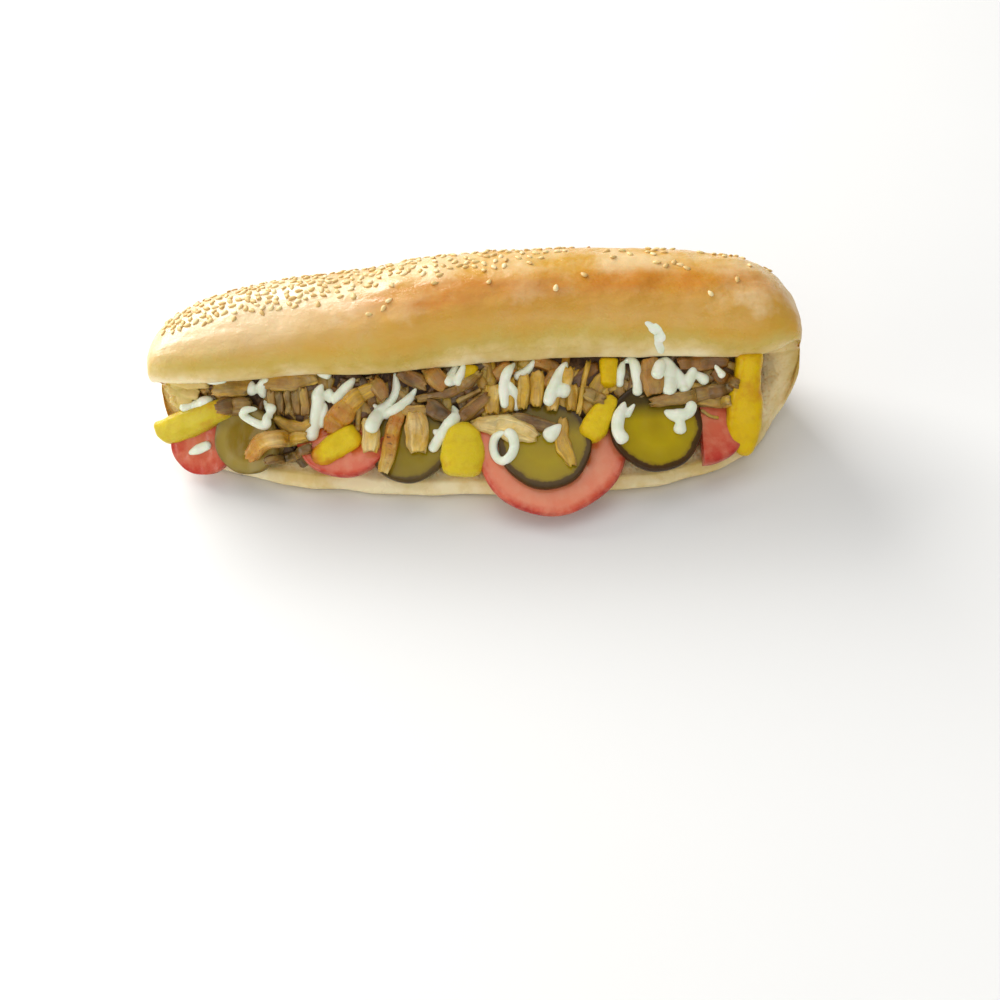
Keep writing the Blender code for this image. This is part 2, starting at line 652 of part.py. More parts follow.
def build():
    for ob in list(bpy.data.objects):
        bpy.data.objects.remove(ob)
    chance = random.Random(5)
    cutters = {}

    def node(name, makers, colour, roughness, more=()):
        """A solid from makers that take a growth, pressed in where firmer pieces built before it lie."""
        ob = add_object(name, makers[0](0.0), colour, roughness)
        combine(ob, [make(0.0) for make in makers[1:]] + list(more), "UNION")
        tree = joint_tree([ob.data])
        near = [mesh for mesh in cutters.values() if joint_tree([mesh]).overlap(tree)]
        combine(ob, [mesh.copy() for mesh in near], "DIFFERENCE")
        for k, make in enumerate(makers):
            cutters[f"{name}.{k}"] = make(GAP)
        return ob

    for k, values in enumerate(PICKLES, 1):
        on_it = DRIZZLE_ON_PICKLE if k == len(PICKLES) else ()
        tree = joint_tree([pickle_slice(*values)])
        makers = [lambda by, v=values: pickle_slice(*v, by=by)]
        for path, radius in on_it:
            points = placed(path, tree, radius * (1 - DRIZZLE_SINK) - 0.3)
            makers.append(lambda by, p=points, r=radius: strand(p, r, by))
        node(f"pickle_{k}", makers, (0.35, 0.30, 0.05), 0.3)
    for k, values in enumerate(TOMATOES, 1):
        node(f"tomato_{k}", [lambda by, v=values: tomato_slice(*v, by=by)], (0.55, 0.11, 0.06), 0.3)
    for k, values in enumerate(CHIPS, 1):
        node(f"chip_{k}", [lambda by, v=values: chip(*v, by=by)], (0.68, 0.48, 0.05), 0.45)

    tree = joint_tree(cutters.values())
    strips = []
    for path, wide, thick in CHICKEN:
        strips.append(bar(over(tree, path, thick), wide * 1.2, thick * 1.2, 4, turn=math.pi / 4))
    core = loft(roll_rings(core_section, 18, CORE_ENDS, 1.0))
    tree = joint_tree([*strips, core, *cutters.values()])
    sauce = []
    for path, radius in DRIZZLE:
        points = placed(path, tree, radius * (1 - DRIZZLE_SINK) - 0.3)
        sauce.append(strand(points, radius))
    filling = node("chicken_filling", [lambda by: core], (0.45, 0.27, 0.12), 0.55, strips + sauce)
    combine(filling, [loft(roll_rings(roll_section, STATIONS, by=GAP))], "DIFFERENCE")
    del cutters["chicken_filling.0"]

    seeds = [seed(x, angle, chance.uniform(0, math.pi)) for x, angle in seed_places()]
    roll = loft(roll_rings(roll_section, STATIONS))
    node("bread_roll", [lambda by: roll], (0.72, 0.48, 0.20), 0.5, seeds)
    to_origin = Matrix.Translation(Vector((-MIDDLE[0], -MIDDLE[1], 0)) * MM)
    for mesh in list(bpy.data.meshes):
        if mesh.users:
            mesh.transform(to_origin)
        else:
            bpy.data.meshes.remove(mesh)


build()
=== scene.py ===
"""Looks of the shawarma sandwich: roll, sesame, chicken, chips, pickles, tomatoes and mayonnaise.

Sizes are in millimetres in the same keys as the solids, and are turned into metres where a mesh is made."""

import math
import random

import bpy
import numpy as np
from mathutils import Matrix, Vector, noise
from mathutils.bvhtree import BVHTree


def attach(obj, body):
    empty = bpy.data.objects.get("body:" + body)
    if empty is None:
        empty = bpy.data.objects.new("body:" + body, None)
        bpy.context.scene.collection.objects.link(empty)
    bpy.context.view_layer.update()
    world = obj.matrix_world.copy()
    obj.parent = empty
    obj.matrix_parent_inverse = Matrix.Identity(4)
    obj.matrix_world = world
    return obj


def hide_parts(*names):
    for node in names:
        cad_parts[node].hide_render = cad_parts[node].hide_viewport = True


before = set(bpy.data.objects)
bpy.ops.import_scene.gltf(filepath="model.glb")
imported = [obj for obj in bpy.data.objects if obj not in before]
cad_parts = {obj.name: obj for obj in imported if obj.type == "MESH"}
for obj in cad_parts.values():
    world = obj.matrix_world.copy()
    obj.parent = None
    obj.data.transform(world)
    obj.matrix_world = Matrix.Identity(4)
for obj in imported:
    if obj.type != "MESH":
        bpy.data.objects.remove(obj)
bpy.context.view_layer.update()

MM = 0.001
MIDDLE = np.array((0.65, -7.5, 0.0))  # the middle of the footprint in the keys below, where the origin is

# ---------------------------------------------------------------- the roll, in keys of (x, size)
# x runs from the left end to the right one, y from the mouth to the back, z up from the floor
ROLL_ENDS = (-113.5, 115.0)
DOME = 5.0
LID_EDGE_Y = ((-114, -8), (-106, -10.5), (-92, -11.5), (-60, -9.5), (-32, -10.5), (0, -7.5), (30, -7),
              (60, -9), (95, -10.5), (107, -9.5), (115, -6))
LID_EDGE_Z = ((-114, 38), (-100, 38), (0, 38), (100, 38.5), (115, 40.5))
CREST_Z = ((-114, 45.5), (-108, 49.5), (-97, 52.5), (-75, 55.5), (-40, 59.5), (-15, 62.5), (8, 64), (45, 63),
           (75, 61.5), (98, 59), (108, 55.5), (115, 49))
CREST_Y = ((-114, 2), (-95, 8), (0, 11), (95, 9), (115, 3))
BACK_Y = ((-114, 10), (-108, 18), (-95, 27), (-60, 34.5), (0, 38.5), (60, 38), (92, 33), (108, 24.5),
          (115, 14))
LIP_Y = ((-114, -7), (-106, -12), (-95, -20), (-65, -31), (-46, -34), (-28, -37), (0, -40),
         (30, -41.5), (62, -39.5), (80, -35), (96, -27.5), (106, -19), (115, -8))
MOUTH_OPEN = ((-114, 0.12), (-108, 0.4), (-97, 0.95), (-85, 1), (85, 1), (98, 0.95), (107, 0.4), (115, 0.12))
# How far the ends are drawn in at each height, as (z, depth), over a reach along x and fading from y to y
LEFT_NOTCH = ((0, 5), (12, 3), (22, 4), (31, 6.5), (36, 4.5), (40, 0.8), (44, 0))
RIGHT_NOTCH = ((0, 5), (12, 2.5), (22, 0.5), (31, 2.5), (36, 2.5), (40, 0.6), (43, 0))
NOTCH_REACH = 34.0
NOTCH_FADE = (-8.0, 16.0)
BASE_LIFT = ((-114, 3), (-107, 0), (108, 0), (115, 3))
LIP_TOP = 7.5
LID_BULGE = 3.5
HINGE_Z = 24.0

MOUTH_TOP = np.array((0, -11.0, 37.0))
MOUTH_SLOPE = math.radians(43.6)
DOWN = np.array((0, -math.cos(MOUTH_SLOPE), -math.sin(MOUTH_SLOPE)))
OUT = np.array((0, -math.sin(MOUTH_SLOPE), math.cos(MOUTH_SLOPE)))

PICKLE_THICK = 3.4
TOMATO_THICK = 4.0
SLICE_AROUND, SLICE_RINGS = 96, 22
CHIP_SIDES = 44


def clamped(value):
    return min(1.0, max(0.0, value))


def along(x, keys):
    """A smooth curve through the keys, read at x."""
    xs = [k[0] for k in keys]
    vs = [k[1] for k in keys]
    x = min(max(x, xs[0]), xs[-1])
    i = max(j for j in range(len(xs) - 1) if xs[j] <= x)
    slopes = []
    for j in (i, i + 1):
        a, b = max(j - 1, 0), min(j + 1, len(xs) - 1)
        slopes.append((vs[b] - vs[a]) / (xs[b] - xs[a]))
    h = xs[i + 1] - xs[i]
    t = (x - xs[i]) / h
    return (
        (2 * t**3 - 3 * t**2 + 1) * vs[i]
        + (t**3 - 2 * t**2 + t) * h * slopes[0]
        + (3 * t**2 - 2 * t**3) * vs[i + 1]
        + (t**3 - t**2) * h * slopes[1]
    )


def curve_through(points, steps):
    """Catmull-Rom through the points, steps samples a span, without the last point."""
    p = np.array(points, float)
    p = np.vstack((2 * p[0] - p[1], p, 2 * p[-1] - p[-2]))
    t = (np.arange(steps) / steps)[:, None]
    made = []
    for i in range(1, len(p) - 2):
        made.append(
            0.5
            * (
                2 * p[i]
                + (p[i + 1] - p[i - 1]) * t
                + (2 * p[i - 1] - 5 * p[i] + 4 * p[i + 1] - p[i + 2]) * t**2
                + (3 * p[i] - p[i - 1] - 3 * p[i + 1] + p[i + 2]) * t**3
            )
        )
    return np.vstack(made)


def squared(values, power):
    """Sines or cosines drawn towards 1 and -1, which turns a circle into a round-cornered square."""
    return np.copysign(np.abs(values) ** power, values)


def quarter(centre, reach, power, start, end, steps):
    """Part of a superellipse about centre, from angle start to end in degrees."""
    a = np.radians(start + (end - start) * np.arange(steps) / steps)
    y = centre[0] + reach[0] * squared(np.cos(a), 2 / power)
    z = centre[1] + reach[1] * squared(np.sin(a), 2 / power)
    return np.stack((y, z), axis=1)


def base_lift(x):
    return max(0.0, along(x, BASE_LIFT))


def edges_of_mouth(x):
    """The lid's cut edge and the lower half's front edge at x, as (y, z)."""
    lid = np.array((along(x, LID_EDGE_Y), along(x, LID_EDGE_Z)))
    lip = np.array((along(x, LIP_Y) + 2.0, LIP_TOP + 0.6 * base_lift(x)))
    return lid, lip


def crust_points(x, fine=1):
    """The outside of the section at x: up over the lid, down the back and forward under the base."""
    lid, lip = edges_of_mouth(x)
    crest = np.array((along(x, CREST_Y), along(x, CREST_Z)))
    back, front = along(x, BACK_Y), lid[0] - LID_BULGE
    side_z = lid[1] + 0.28 * (crest[1] - lid[1])
    back_z = lid[1] - 1.0
    lift = base_lift(x)
    waist = 0.11 * (back - crest[0])
    lip_y = along(x, LIP_Y)
    foot = min(1.0, (back - lip_y) / 40)
    flat_back, flat_front = back - 12 * foot, lip_y + 9 * foot
    flat = flat_back + (flat_front - flat_back) * np.arange(2 * fine) / (2 * fine)
    return np.vstack(
        (
            curve_through((lid, (front + 0.8, lid[1] + 1.6), (front, side_z)), fine),
            quarter((crest[0], side_z), (crest[0] - front, crest[1] - side_z), 2.35, 180, 90, 6 * fine),
            quarter((crest[0], back_z), (back - crest[0], crest[1] - back_z), 2.2, 90, 0, 6 * fine),
            curve_through(
                (
                    (back, back_z),
                    (back - 0.4 * waist, HINGE_Z + 6),
                    (back - waist, HINGE_Z),
                    (back - 0.5 * waist, HINGE_Z - 6),
                    (back - 0.6 * waist, 9 + lift),
                    (back - 6 * foot, 2 + lift),
                    (flat_back, lift),
                ),
                fine,
            ),
            np.stack((flat, np.full(len(flat), lift)), axis=1),
            curve_through(
                ((flat_front, lift), (lip_y + 3 * foot, 0.8 + lift), (lip_y, 3.6 + lift), lip), fine
            ),
        )
    )


def crumb_points(x, fine=1):
    """The cut faces at x: back along the lower half, round the pocket and forward under the lid."""
    lid, lip = edges_of_mouth(x)
    back = along(x, BACK_Y) - 10.5
    whole = np.array(
        (
            lip,
            (lip[0] + 10, lip[1] + 1.8),
            (0.45 * lip[0] + 0.55 * back, lip[1] + 1.5),
            (back - 7, lip[1] + 3.5),
            (back, lip[1] + 11),
            (back - 3, lid[1] - 10),
            (back - 13, lid[1] - 4.5),
            (lid[0] + 9, lid[1] - 0.5),
            lid,
        )
    )
    t = (np.arange(len(whole)) / (len(whole) - 1))[:, None]
    straight = lip + (lid - lip) * t + np.hstack((5.0 * np.sin(math.pi * t), 0 * t))
    return curve_through(straight + (whole - straight) * along(x, MOUTH_OPEN), fine)


def notched(points):
    """Points of the roll's ends, drawn in under the lid, less so towards the joined back."""
    made = np.array(points, float)
    x, y, z = made[:, 0], made[:, 1], made[:, 2]
    for side, keys, end in ((-1, LEFT_NOTCH, ROLL_ENDS[0]), (1, RIGHT_NOTCH, ROLL_ENDS[1])):
        near = np.clip(1 - (abs(end) - side * x) / NOTCH_REACH, 0, 1)
        front = np.clip((NOTCH_FADE[1] - y) / (NOTCH_FADE[1] - NOTCH_FADE[0]), 0, 1)
        share = 0.3 + 0.7 * front * front * (3 - 2 * front)
        levels = np.linspace(0, 70, 281)
        depth = np.interp(z, levels, [along(v, keys) for v in levels])
        x = x - side * depth * share * near * near
    made[:, 0] = x
    return made


def mouth_depth(x, down):
    """How far the straight line between the mouth's two edges lies in front of the mouth plane."""
    lid, lip = edges_of_mouth(min(max(x, -108), 108))
    p = (MOUTH_TOP + DOWN * down)[1:]
    o, d = OUT[1:], lip - lid
    cross = o[0] * d[1] - o[1] * d[0]
    return ((lid[0] - p[0]) * d[1] - (lid[1] - p[1]) * d[0]) / cross


def in_mouth(x, down, lift=0.0):
    """A point x along the roll and down the mouth's face, lift above its surface, in millimetres."""
    return MOUTH_TOP + np.array((x, 0, 0)) + DOWN * down + OUT * (mouth_depth(x, down) + lift)


def unit(v):
    return v / (np.linalg.norm(v) + 1e-12)


def mouth_axes(x, down):
    """The surface's right, down and out directions at a place in the mouth."""
    right = unit(in_mouth(x + 4, down) - in_mouth(x - 4, down))
    below = unit(in_mouth(x, down + 4) - in_mouth(x, down - 4))
    out = unit(np.cross(below, right))
    return right, np.cross(right, out), out


def tilted(axes, top_in, right_in):
    """Axes with the slice's top pushed in by an angle in degrees, and its right side by another."""
    right, down, out = axes
    a, b = math.radians(top_in), math.radians(right_in)
    down, out = down * math.cos(a) + out * math.sin(a), out * math.cos(a) - down * math.sin(a)
    right, out = right * math.cos(b) - out * math.sin(b), out * math.cos(b) + right * math.sin(b)
    return right, down, out


# ---------------------------------------------------------------- meshes from arrays
class Heap:
    """Points, faces and point values of many pieces that are joined in one mesh."""

    def __init__(self):
        self.points, self.faces, self.values, self.count = [], [], {}, 0

    def add(self, points, faces, **values):
        points = np.asarray(points, float)
        self.points.append(points)
        self.faces += [tuple(i + self.count for i in face) for face in faces]
        for name, value in values.items():
            value = np.asarray(value, float)
            if value.ndim == 0 or (value.ndim == 1 and len(value) != len(points)):
                value = np.broadcast_to(value, (len(points), *value.shape))
            self.values.setdefault(name, []).append(value)
        self.count += len(points)
        return self


def tree_of(*heaps):
    """One search tree over the heaps' surfaces, in millimetres."""
    points, faces, count = [], [], 0
    for heap in heaps:
        block = np.vstack(heap.points)
        points += block.tolist()
        faces += [tuple(i + count for i in face) for face in heap.faces]
        count += len(block)
    return BVHTree.FromPolygons(points, faces)


def make_object(name, heap, material, stands_for):
    """An object of the heap's mesh, in metres about the middle, which stands for the named node."""
    points = (np.vstack(heap.points) - MIDDLE) * MM
    mesh = bpy.data.meshes.new(name)
    mesh.from_pydata(points.tolist(), [], heap.faces)
    for key, blocks in heap.values.items():
        data = np.concatenate(blocks)
        kind = "FLOAT" if data.ndim == 1 else "FLOAT_VECTOR"
        attribute = mesh.attributes.new(key, kind, "POINT")
        attribute.data.foreach_set("value" if data.ndim == 1 else "vector", data.astype(np.float32).ravel())
    mesh.validate()
    mesh.shade_smooth()
    mesh.materials.append(material)
    ob = bpy.data.objects.new(name, mesh)
    bpy.context.scene.collection.objects.link(ob)
    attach(ob, "root")
    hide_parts(stands_for)
    return ob


def grid_faces(rows, columns):
    """Quads over a grid of points whose rows follow each other; the last column is joined to the first."""
    faces = []
    for r in range(rows - 1):
        for c in range(columns):
            a, b = r * columns + c, r * columns + (c + 1) % columns
            faces.append((a, b, b + columns, a + columns))
    return faces


def capped(rows, columns, first, last):
    """Fans from the first and last rows of a closed grid to two points."""
    faces = [(first, (c + 1) % columns, c) for c in range(columns)]
    start = (rows - 1) * columns
    faces += [(last, start + c, start + (c + 1) % columns) for c in range(columns)]
    return faces


def rough(p, scale, detail=3, seed=0.0):
    """Smooth noise about 0 at a point in millimetres; scale is the size of its lumps."""
    v = Vector((p[0] / scale + seed, p[1] / scale - seed, p[2] / scale + 0.5 * seed))
    return noise.fractal(v, 1.0, 2.0, detail)


# ---------------------------------------------------------------- materials
class Shade:
    """Short calls that add and join shader nodes of one material."""

    def __init__(self, name):
        self.material = bpy.data.materials.new(name)
        self.material.use_nodes = True
        self.tree = self.material.node_tree
        self.shader = self.tree.nodes["Principled BSDF"]

    def put(self, target, value):
        """Joins an output to the input, or sets the input's own value."""
        if isinstance(value, bpy.types.NodeSocket):
            self.tree.links.new(value, target)
        else:
            target.default_value = (*value, 1) if target.type == "RGBA" else value

    def node(self, kind, output, inputs=None, **settings):
        """A new node with its inputs joined or set, read at one of its outputs."""
        made = self.tree.nodes.new(kind)
        for key, value in settings.items():
            setattr(made, key, value)
        for key, value in (inputs or {}).items():
            self.put(made.inputs[key], value)
        return made.outputs[output]

    def value(self, name):
        return self.node("ShaderNodeAttribute", "Fac", attribute_name=name)

    def vector(self, name):
        return self.node("ShaderNodeAttribute", "Vector", attribute_name=name)

    def place(self):
        return self.node("ShaderNodeTexCoord", "Object")

    def stretched(self, vector, scale):
        return self.node("ShaderNodeMapping", "Vector", {"Vector": vector, "Scale": scale})

    def noise(self, vector, scale, detail=4.0, rough_by=0.55, distort=0.0):
        inputs = {"Vector": vector, "Scale": scale, "Detail": detail}
        inputs |= {"Roughness": rough_by, "Distortion": distort}
        return self.node("ShaderNodeTexNoise", "Fac", inputs)

    def cells(self, vector, scale):
        inputs = {"Vector": vector, "Scale": scale}
        return self.node("ShaderNodeTexVoronoi", "Distance", inputs, feature="SMOOTH_F1")

    def ramp(self, factor, *stops):
        """Colours over a factor; each stop is its place, then red, green and blue as read on a screen."""
        made = self.node("ShaderNodeValToRGB", "Color", {"Fac": factor})
        elements = made.node.color_ramp.elements
        while len(elements) < len(stops):
            elements.new(0.5)
        for element, (place, *colour) in zip(elements, stops):
            element.position = place
            element.color = (*srgb(*colour), 1)
        return made

    def spread(self, factor, low, high, to_low=0.0, to_high=1.0):
        """The factor's range from low to high, stretched to another range and cut off there."""
        inputs = {"Value": factor, "From Min": low, "From Max": high, "To Min": to_low, "To Max": to_high}
        return self.node("ShaderNodeMapRange", "Result", inputs, clamp=True)

    def maths(self, operation, a, b=0.0):
        return self.node("ShaderNodeMath", 0, {0: a, 1: b}, operation=operation)

    def mix(self, factor, a, b, blend="MIX"):
        inputs = {"Factor": factor, "A": a, "B": b}
        return self.node("ShaderNodeMix", "Result", inputs, data_type="RGBA", blend_type=blend)

    def bump(self, height, distance, strength=1.0, normal=None):
        inputs = {"Distance": distance * MM, "Strength": strength, "Height": height}
        if normal:
            inputs["Normal"] = normal
        return self.node("ShaderNodeBump", "Normal", inputs)

    def finish(self, colour, rough_of, normal=None, **fixed):
        """Joins or sets the surface's inputs and gives back the material."""
        inputs = {"Base Color": colour, "Roughness": rough_of, **fixed}
        if normal:
            inputs["Normal"] = normal
        for key, value in inputs.items():
            self.put(self.shader.inputs[key.replace("_", " ")], value)
        return self.material


def srgb(r, g, b):
    """A colour as read on a screen, 0 to 255, as the shader's linear values."""
    return tuple(((v / 255 + 0.055) / 1.055) ** 2.4 if v > 10 else v / 3294.6 for v in (r, g, b))


def roll_material():
    """Baked crust from cream at the cut to gold on the shoulders, with painted sheen, painted glare and
    painted shade on the back, and pale open crumb.
    """
    s = Shade("bread")
    place = s.place()
    bake, browned, crumb = s.value("bake"), s.value("browned"), s.value("crumb")
    blotch = s.noise(place, 34, 4, 0.6)
    fine = s.noise(place, 260, 5, 0.6)
    level = s.maths("ADD", bake, s.spread(blotch, 0.3, 0.7, -0.2, 0.2))
    level = s.maths("ADD", level, s.spread(fine, 0.35, 0.65, -0.035, 0.035))
    # the ramp's last stop, paler cream where the crust is baked most near the crest, is a painted sheen
    crust = s.ramp(
        level,
        (0.0, 246, 230, 184), (0.16, 230, 204, 136), (0.36, 208, 178, 80), (0.62, 212, 164, 52),
        (0.8, 214, 162, 56), (1.0, 238, 206, 148),
    )
    patch = s.maths("MULTIPLY", browned, s.spread(s.noise(place, 75, 4, 0.6), 0.25, 0.6, 0.35, 1.0))
    crust = s.mix(patch, crust, srgb(200, 126, 12))
    # painted sheen: pinkish-cream mottling over the well-baked crust, less where it is browned
    blush = s.maths("MULTIPLY", s.spread(s.noise(place, 48, 4, 0.65), 0.48, 0.66), s.spread(bake, 0.5, 0.8))
    blush = s.maths("MULTIPLY", blush, s.maths("SUBTRACT", 0.24, s.maths("MULTIPLY", browned, 0.5)))
    crust = s.mix(s.maths("MAXIMUM", blush, 0.0), crust, srgb(242, 206, 160))
    # painted glare: the pale value turns the lid's upper left front near white
    crust = s.mix(s.value("pale"), crust, srgb(250, 240, 212))
    # painted shade: darkens the crust on the lower back and a little at the tips
    crust = s.mix(s.value("dim"), crust, srgb(112, 78, 38))
    pits = s.cells(place, 900)
    # painted shade: the crumb is darker and yellower in its pits
    inside = s.mix(s.spread(pits, 0.05, 0.5), srgb(240, 208, 142), srgb(254, 238, 192))
    inside = s.mix(s.spread(s.noise(place, 90, 4), 0.4, 0.75), inside, srgb(242, 212, 150))
    colour = s.mix(crumb, crust, inside)
    wrinkles = s.noise(s.stretched(place, (1.0, 2.6, 2.6)), 420, 5, 0.6, 0.4)
    dimples = s.noise(place, 130, 3)
    crust_bump = s.bump(wrinkles, 0.2, 0.6, s.bump(dimples, 1.2, 0.5))
    crumb_height = s.maths("ADD", s.spread(pits, 0.0, 0.45), s.noise(place, 700, 5, 0.7))
    crumb_bump = s.bump(crumb_height, 0.35, 0.7)
    bumps = {"Factor": crumb, "A": crust_bump, "B": crumb_bump}
    normal = s.node("ShaderNodeMix", "Result", bumps, data_type="VECTOR")
    shine = s.spread(s.noise(place, 60, 4, 0.6), 0.35, 0.65, 0.2, 0.38)
    rough_of = s.maths("MAXIMUM", shine, s.maths("MULTIPLY", crumb, 0.85))
    return s.finish(
        colour, rough_of, normal, Subsurface_Weight=0.12, Subsurface_Scale=0.004, Specular_IOR_Level=0.5
    )


def seed_material():
    """Pale seeds, each with a tone of its own and a browner tip."""
    s = Shade("sesame")
    colour = s.ramp(s.value("tone"), (0.0, 216, 178, 106), (0.5, 236, 206, 138), (1.0, 246, 226, 174))
    colour = s.mix(s.spread(s.value("tip"), 0.7, 1.0), colour, srgb(196, 148, 84))
    grain = s.noise(s.place(), 1800, 3)
    return s.finish(
        colour, s.spread(grain, 0.3, 0.7, 0.38, 0.55), s.bump(grain, 0.05, 0.5), Subsurface_Weight=0.15,
        Subsurface_Scale=0.001,
    )


def chicken_material():
    """Sliced roast meat: fibres along each piece, a tone of its own, and orange-brown roasted places."""
    s = Shade("chicken")
    grain, tone, rim, roast = s.vector("grain"), s.value("tone"), s.value("rim"), s.value("roast")
    fibres = s.noise(s.stretched(grain, (0.10, 1.7, 1.7)), 1.0, 6, 0.65, 0.8)
    lumps = s.noise(s.stretched(grain, (0.25, 1.0, 1.0)), 0.5, 4, 0.6)
    colour = s.ramp(
        s.maths("ADD", tone, s.spread(lumps, 0.3, 0.7, -0.2, 0.2)),
        (0.0, 62, 44, 24), (0.25, 118, 94, 50), (0.5, 182, 152, 80), (0.75, 220, 178, 52),
        (1.0, 246, 222, 152),
    )
    shade = s.spread(fibres, 0.32, 0.68, 0.55, 1.2)
    grey = s.node("ShaderNodeCombineColor", "Color", {0: shade, 1: shade, 2: shade})
    colour = s.mix(1.0, colour, grey, "MULTIPLY")
    brown = s.maths("ADD", s.maths("MULTIPLY", rim, 0.12), roast)
    brown = s.maths("MULTIPLY", brown, s.spread(s.noise(grain, 0.45, 4, 0.6), 0.3, 0.6, 0.35, 1.0))
    colour = s.mix(brown, colour, srgb(190, 116, 26))
    specks = s.spread(s.noise(grain, 1.6, 3, 0.6), 0.6, 0.68)
    colour = s.mix(s.maths("MULTIPLY", specks, s.maths("MULTIPLY", brown, 0.9)), colour, srgb(60, 32, 18))
    normal = s.bump(fibres, 0.3, 0.6, s.bump(lumps, 0.8, 0.6))
    return s.finish(
        colour, s.spread(fibres, 0.3, 0.7, 0.34, 0.22), normal, Subsurface_Weight=0.15,
        Subsurface_Scale=0.002, Specular_IOR_Level=0.5,
    )


def core_material():
    """The packed meat between the pieces that show, coloured dark brown as painted shade in the gaps."""
    s = Shade("filling_core")
    place = s.place()
    # painted shade: dark browns stand for the shaded gaps between the pieces
    colour = s.ramp(
        s.noise(place, 260, 5, 0.65),
        (0.3, 48, 32, 22), (0.5, 88, 62, 40), (0.72, 136, 104, 62),
    )
    height = s.noise(place, 420, 5, 0.65)
    return s.finish(colour, s.spread(height, 0.3, 0.7, 0.4, 0.6), s.bump(height, 0.8, 0.9))


def chip_material():
    """Yellow chips with a mottled skin, browned where they are fried most."""
    s = Shade("chip")
    place = s.place()
    fried, tone = s.value("fried"), s.value("tone")
    colour = s.ramp(tone, (0.0, 222, 182, 0), (0.5, 230, 202, 36), (1.0, 196, 180, 54))
    skin = s.noise(place, 320, 5, 0.65)
    colour = s.mix(s.spread(skin, 0.45, 0.75, 0, 0.35), colour, srgb(184, 134, 0))
    level = s.maths("ADD", fried, s.spread(s.noise(place, 160, 4), 0.3, 0.7, -0.25, 0.25))
    colour = s.mix(s.spread(level, 0.35, 0.9), colour, srgb(196, 122, 24))
    colour = s.mix(s.spread(level, 0.92, 1.2), colour, srgb(128, 70, 20))
    creases = s.noise(place, 900, 4, 0.6)
    normal = s.bump(creases, 0.12, 0.6, s.bump(skin, 0.4, 0.5))
    return s.finish(
        colour, s.spread(skin, 0.35, 0.7, 0.22, 0.4), normal, Subsurface_Weight=0.15, Subsurface_Scale=0.002,
        Specular_IOR_Level=0.18,
    )


def pickle_material():
    """A gherkin slice: dark skin, olive-yellow flesh and a seedy middle, all wet, with painted shade from the
    shade value.
    """
    s = Shade("pickle")
    place = s.place()
    radius, tone, shade = s.value("radius"), s.value("tone"), s.value("shade")
    wobble = s.spread(s.noise(place, 230, 4, 0.6), 0.3, 0.7, -0.03, 0.03)
    level = s.maths("ADD", radius, wobble)
    flesh = s.ramp(
        level,
        (0.0, 172, 146, 0), (0.45, 184, 160, 0), (0.8, 166, 142, 6), (0.86, 138, 114, 12),
        (0.885, 74, 48, 10), (1.0, 54, 32, 8),
    )
    pale = s.ramp(
        level,
        (0.0, 134, 104, 4), (0.5, 142, 114, 10), (0.66, 168, 144, 66), (0.9, 164, 142, 66),
        (1.0, 118, 96, 30),
    )
    colour = s.mix(tone, flesh, pale)
    cloud = s.noise(place, 200, 4, 0.6)
    colour = s.mix(s.spread(cloud, 0.4, 0.7, 0, 0.1), colour, srgb(130, 104, 2))
    # painted shade: the shade value darkens the slice towards dark olive-brown
    colour = s.mix(shade, colour, srgb(58, 44, 22))
    return s.finish(
        colour, 0.16, s.bump(cloud, 0.15, 0.2), Subsurface_Weight=0.2, Subsurface_Scale=0.003,
        Specular_IOR_Level=0.26,
    )


def tomato_material():
    """A tomato slice: red skin, pale salmon wall and seedy gel between the walls."""
    s = Shade("tomato")
    place = s.place()
    radius, tone, gel = s.value("radius"), s.value("tone"), s.value("gel")
    level = s.maths("ADD", radius, s.spread(s.noise(place, 120, 3), 0.3, 0.7, -0.03, 0.03))
    pale = s.ramp(
        level,
        (0.0, 240, 156, 116), (0.6, 238, 146, 106), (0.88, 234, 130, 92), (0.96, 212, 84, 54),
        (1.0, 178, 44, 26),
    )
    deep = s.ramp(level, (0.0, 222, 122, 84), (0.6, 210, 88, 60), (0.9, 198, 62, 44), (1.0, 168, 34, 22))
    colour = s.mix(tone, pale, deep)
    colour = s.mix(gel, colour, srgb(206, 96, 30))
    cloud = s.noise(place, 180, 4, 0.6)
    colour = s.mix(s.spread(cloud, 0.42, 0.7, 0, 0.4), colour, srgb(238, 168, 130))
    normal = s.bump(cloud, 0.4, 0.4)
    return s.finish(
        colour, 0.18, normal, Subsurface_Weight=0.25, Subsurface_Scale=0.004, Specular_IOR_Level=0.45
    )


def mayonnaise_material():
    """Thick white sauce with a faint green tint, softly uneven and glossy."""
    s = Shade("mayonnaise")
    place = s.place()
    soft = s.noise(place, 240, 3)
    colour = s.mix(s.spread(soft, 0.35, 0.7), srgb(232, 240, 214), srgb(246, 248, 232))
    return s.finish(
        colour, s.spread(soft, 0.3, 0.7, 0.08, 0.16), s.bump(soft, 0.3, 0.4), Subsurface_Weight=0.15,
        Subsurface_Scale=0.0015,
    )


def floor_material():
    """A plain pale floor."""
    s = Shade("floor")
    grain = s.noise(s.place(), 8, 3)
    return s.finish(s.mix(grain, (0.86, 0.86, 0.85), (0.88, 0.88, 0.87)), 0.6)


# ---------------------------------------------------------------- the roll
FINE = 7
ROLL_STATIONS = 360
CAP_TURNS = (10, 20, 30, 40, 50, 59, 67, 74, 80, 85, 88.5)  # how far round the closing caps each row lies
SOFT_ROWS, SOFT_TIMES = 18, 28  # rows on each side of a cap's edge that are smoothed, and how often
CRUST_COLUMNS = 25 * FINE  # columns of crust round a section; the rest are the cut faces
UNDERSIDE_COLUMN = 20 * FINE  # from here to the last of them they are the underside and the lip
CUT_BAKE = 0.22
LID_FRONT_Z = 37  # above this the crust in front of the crest is the lid's
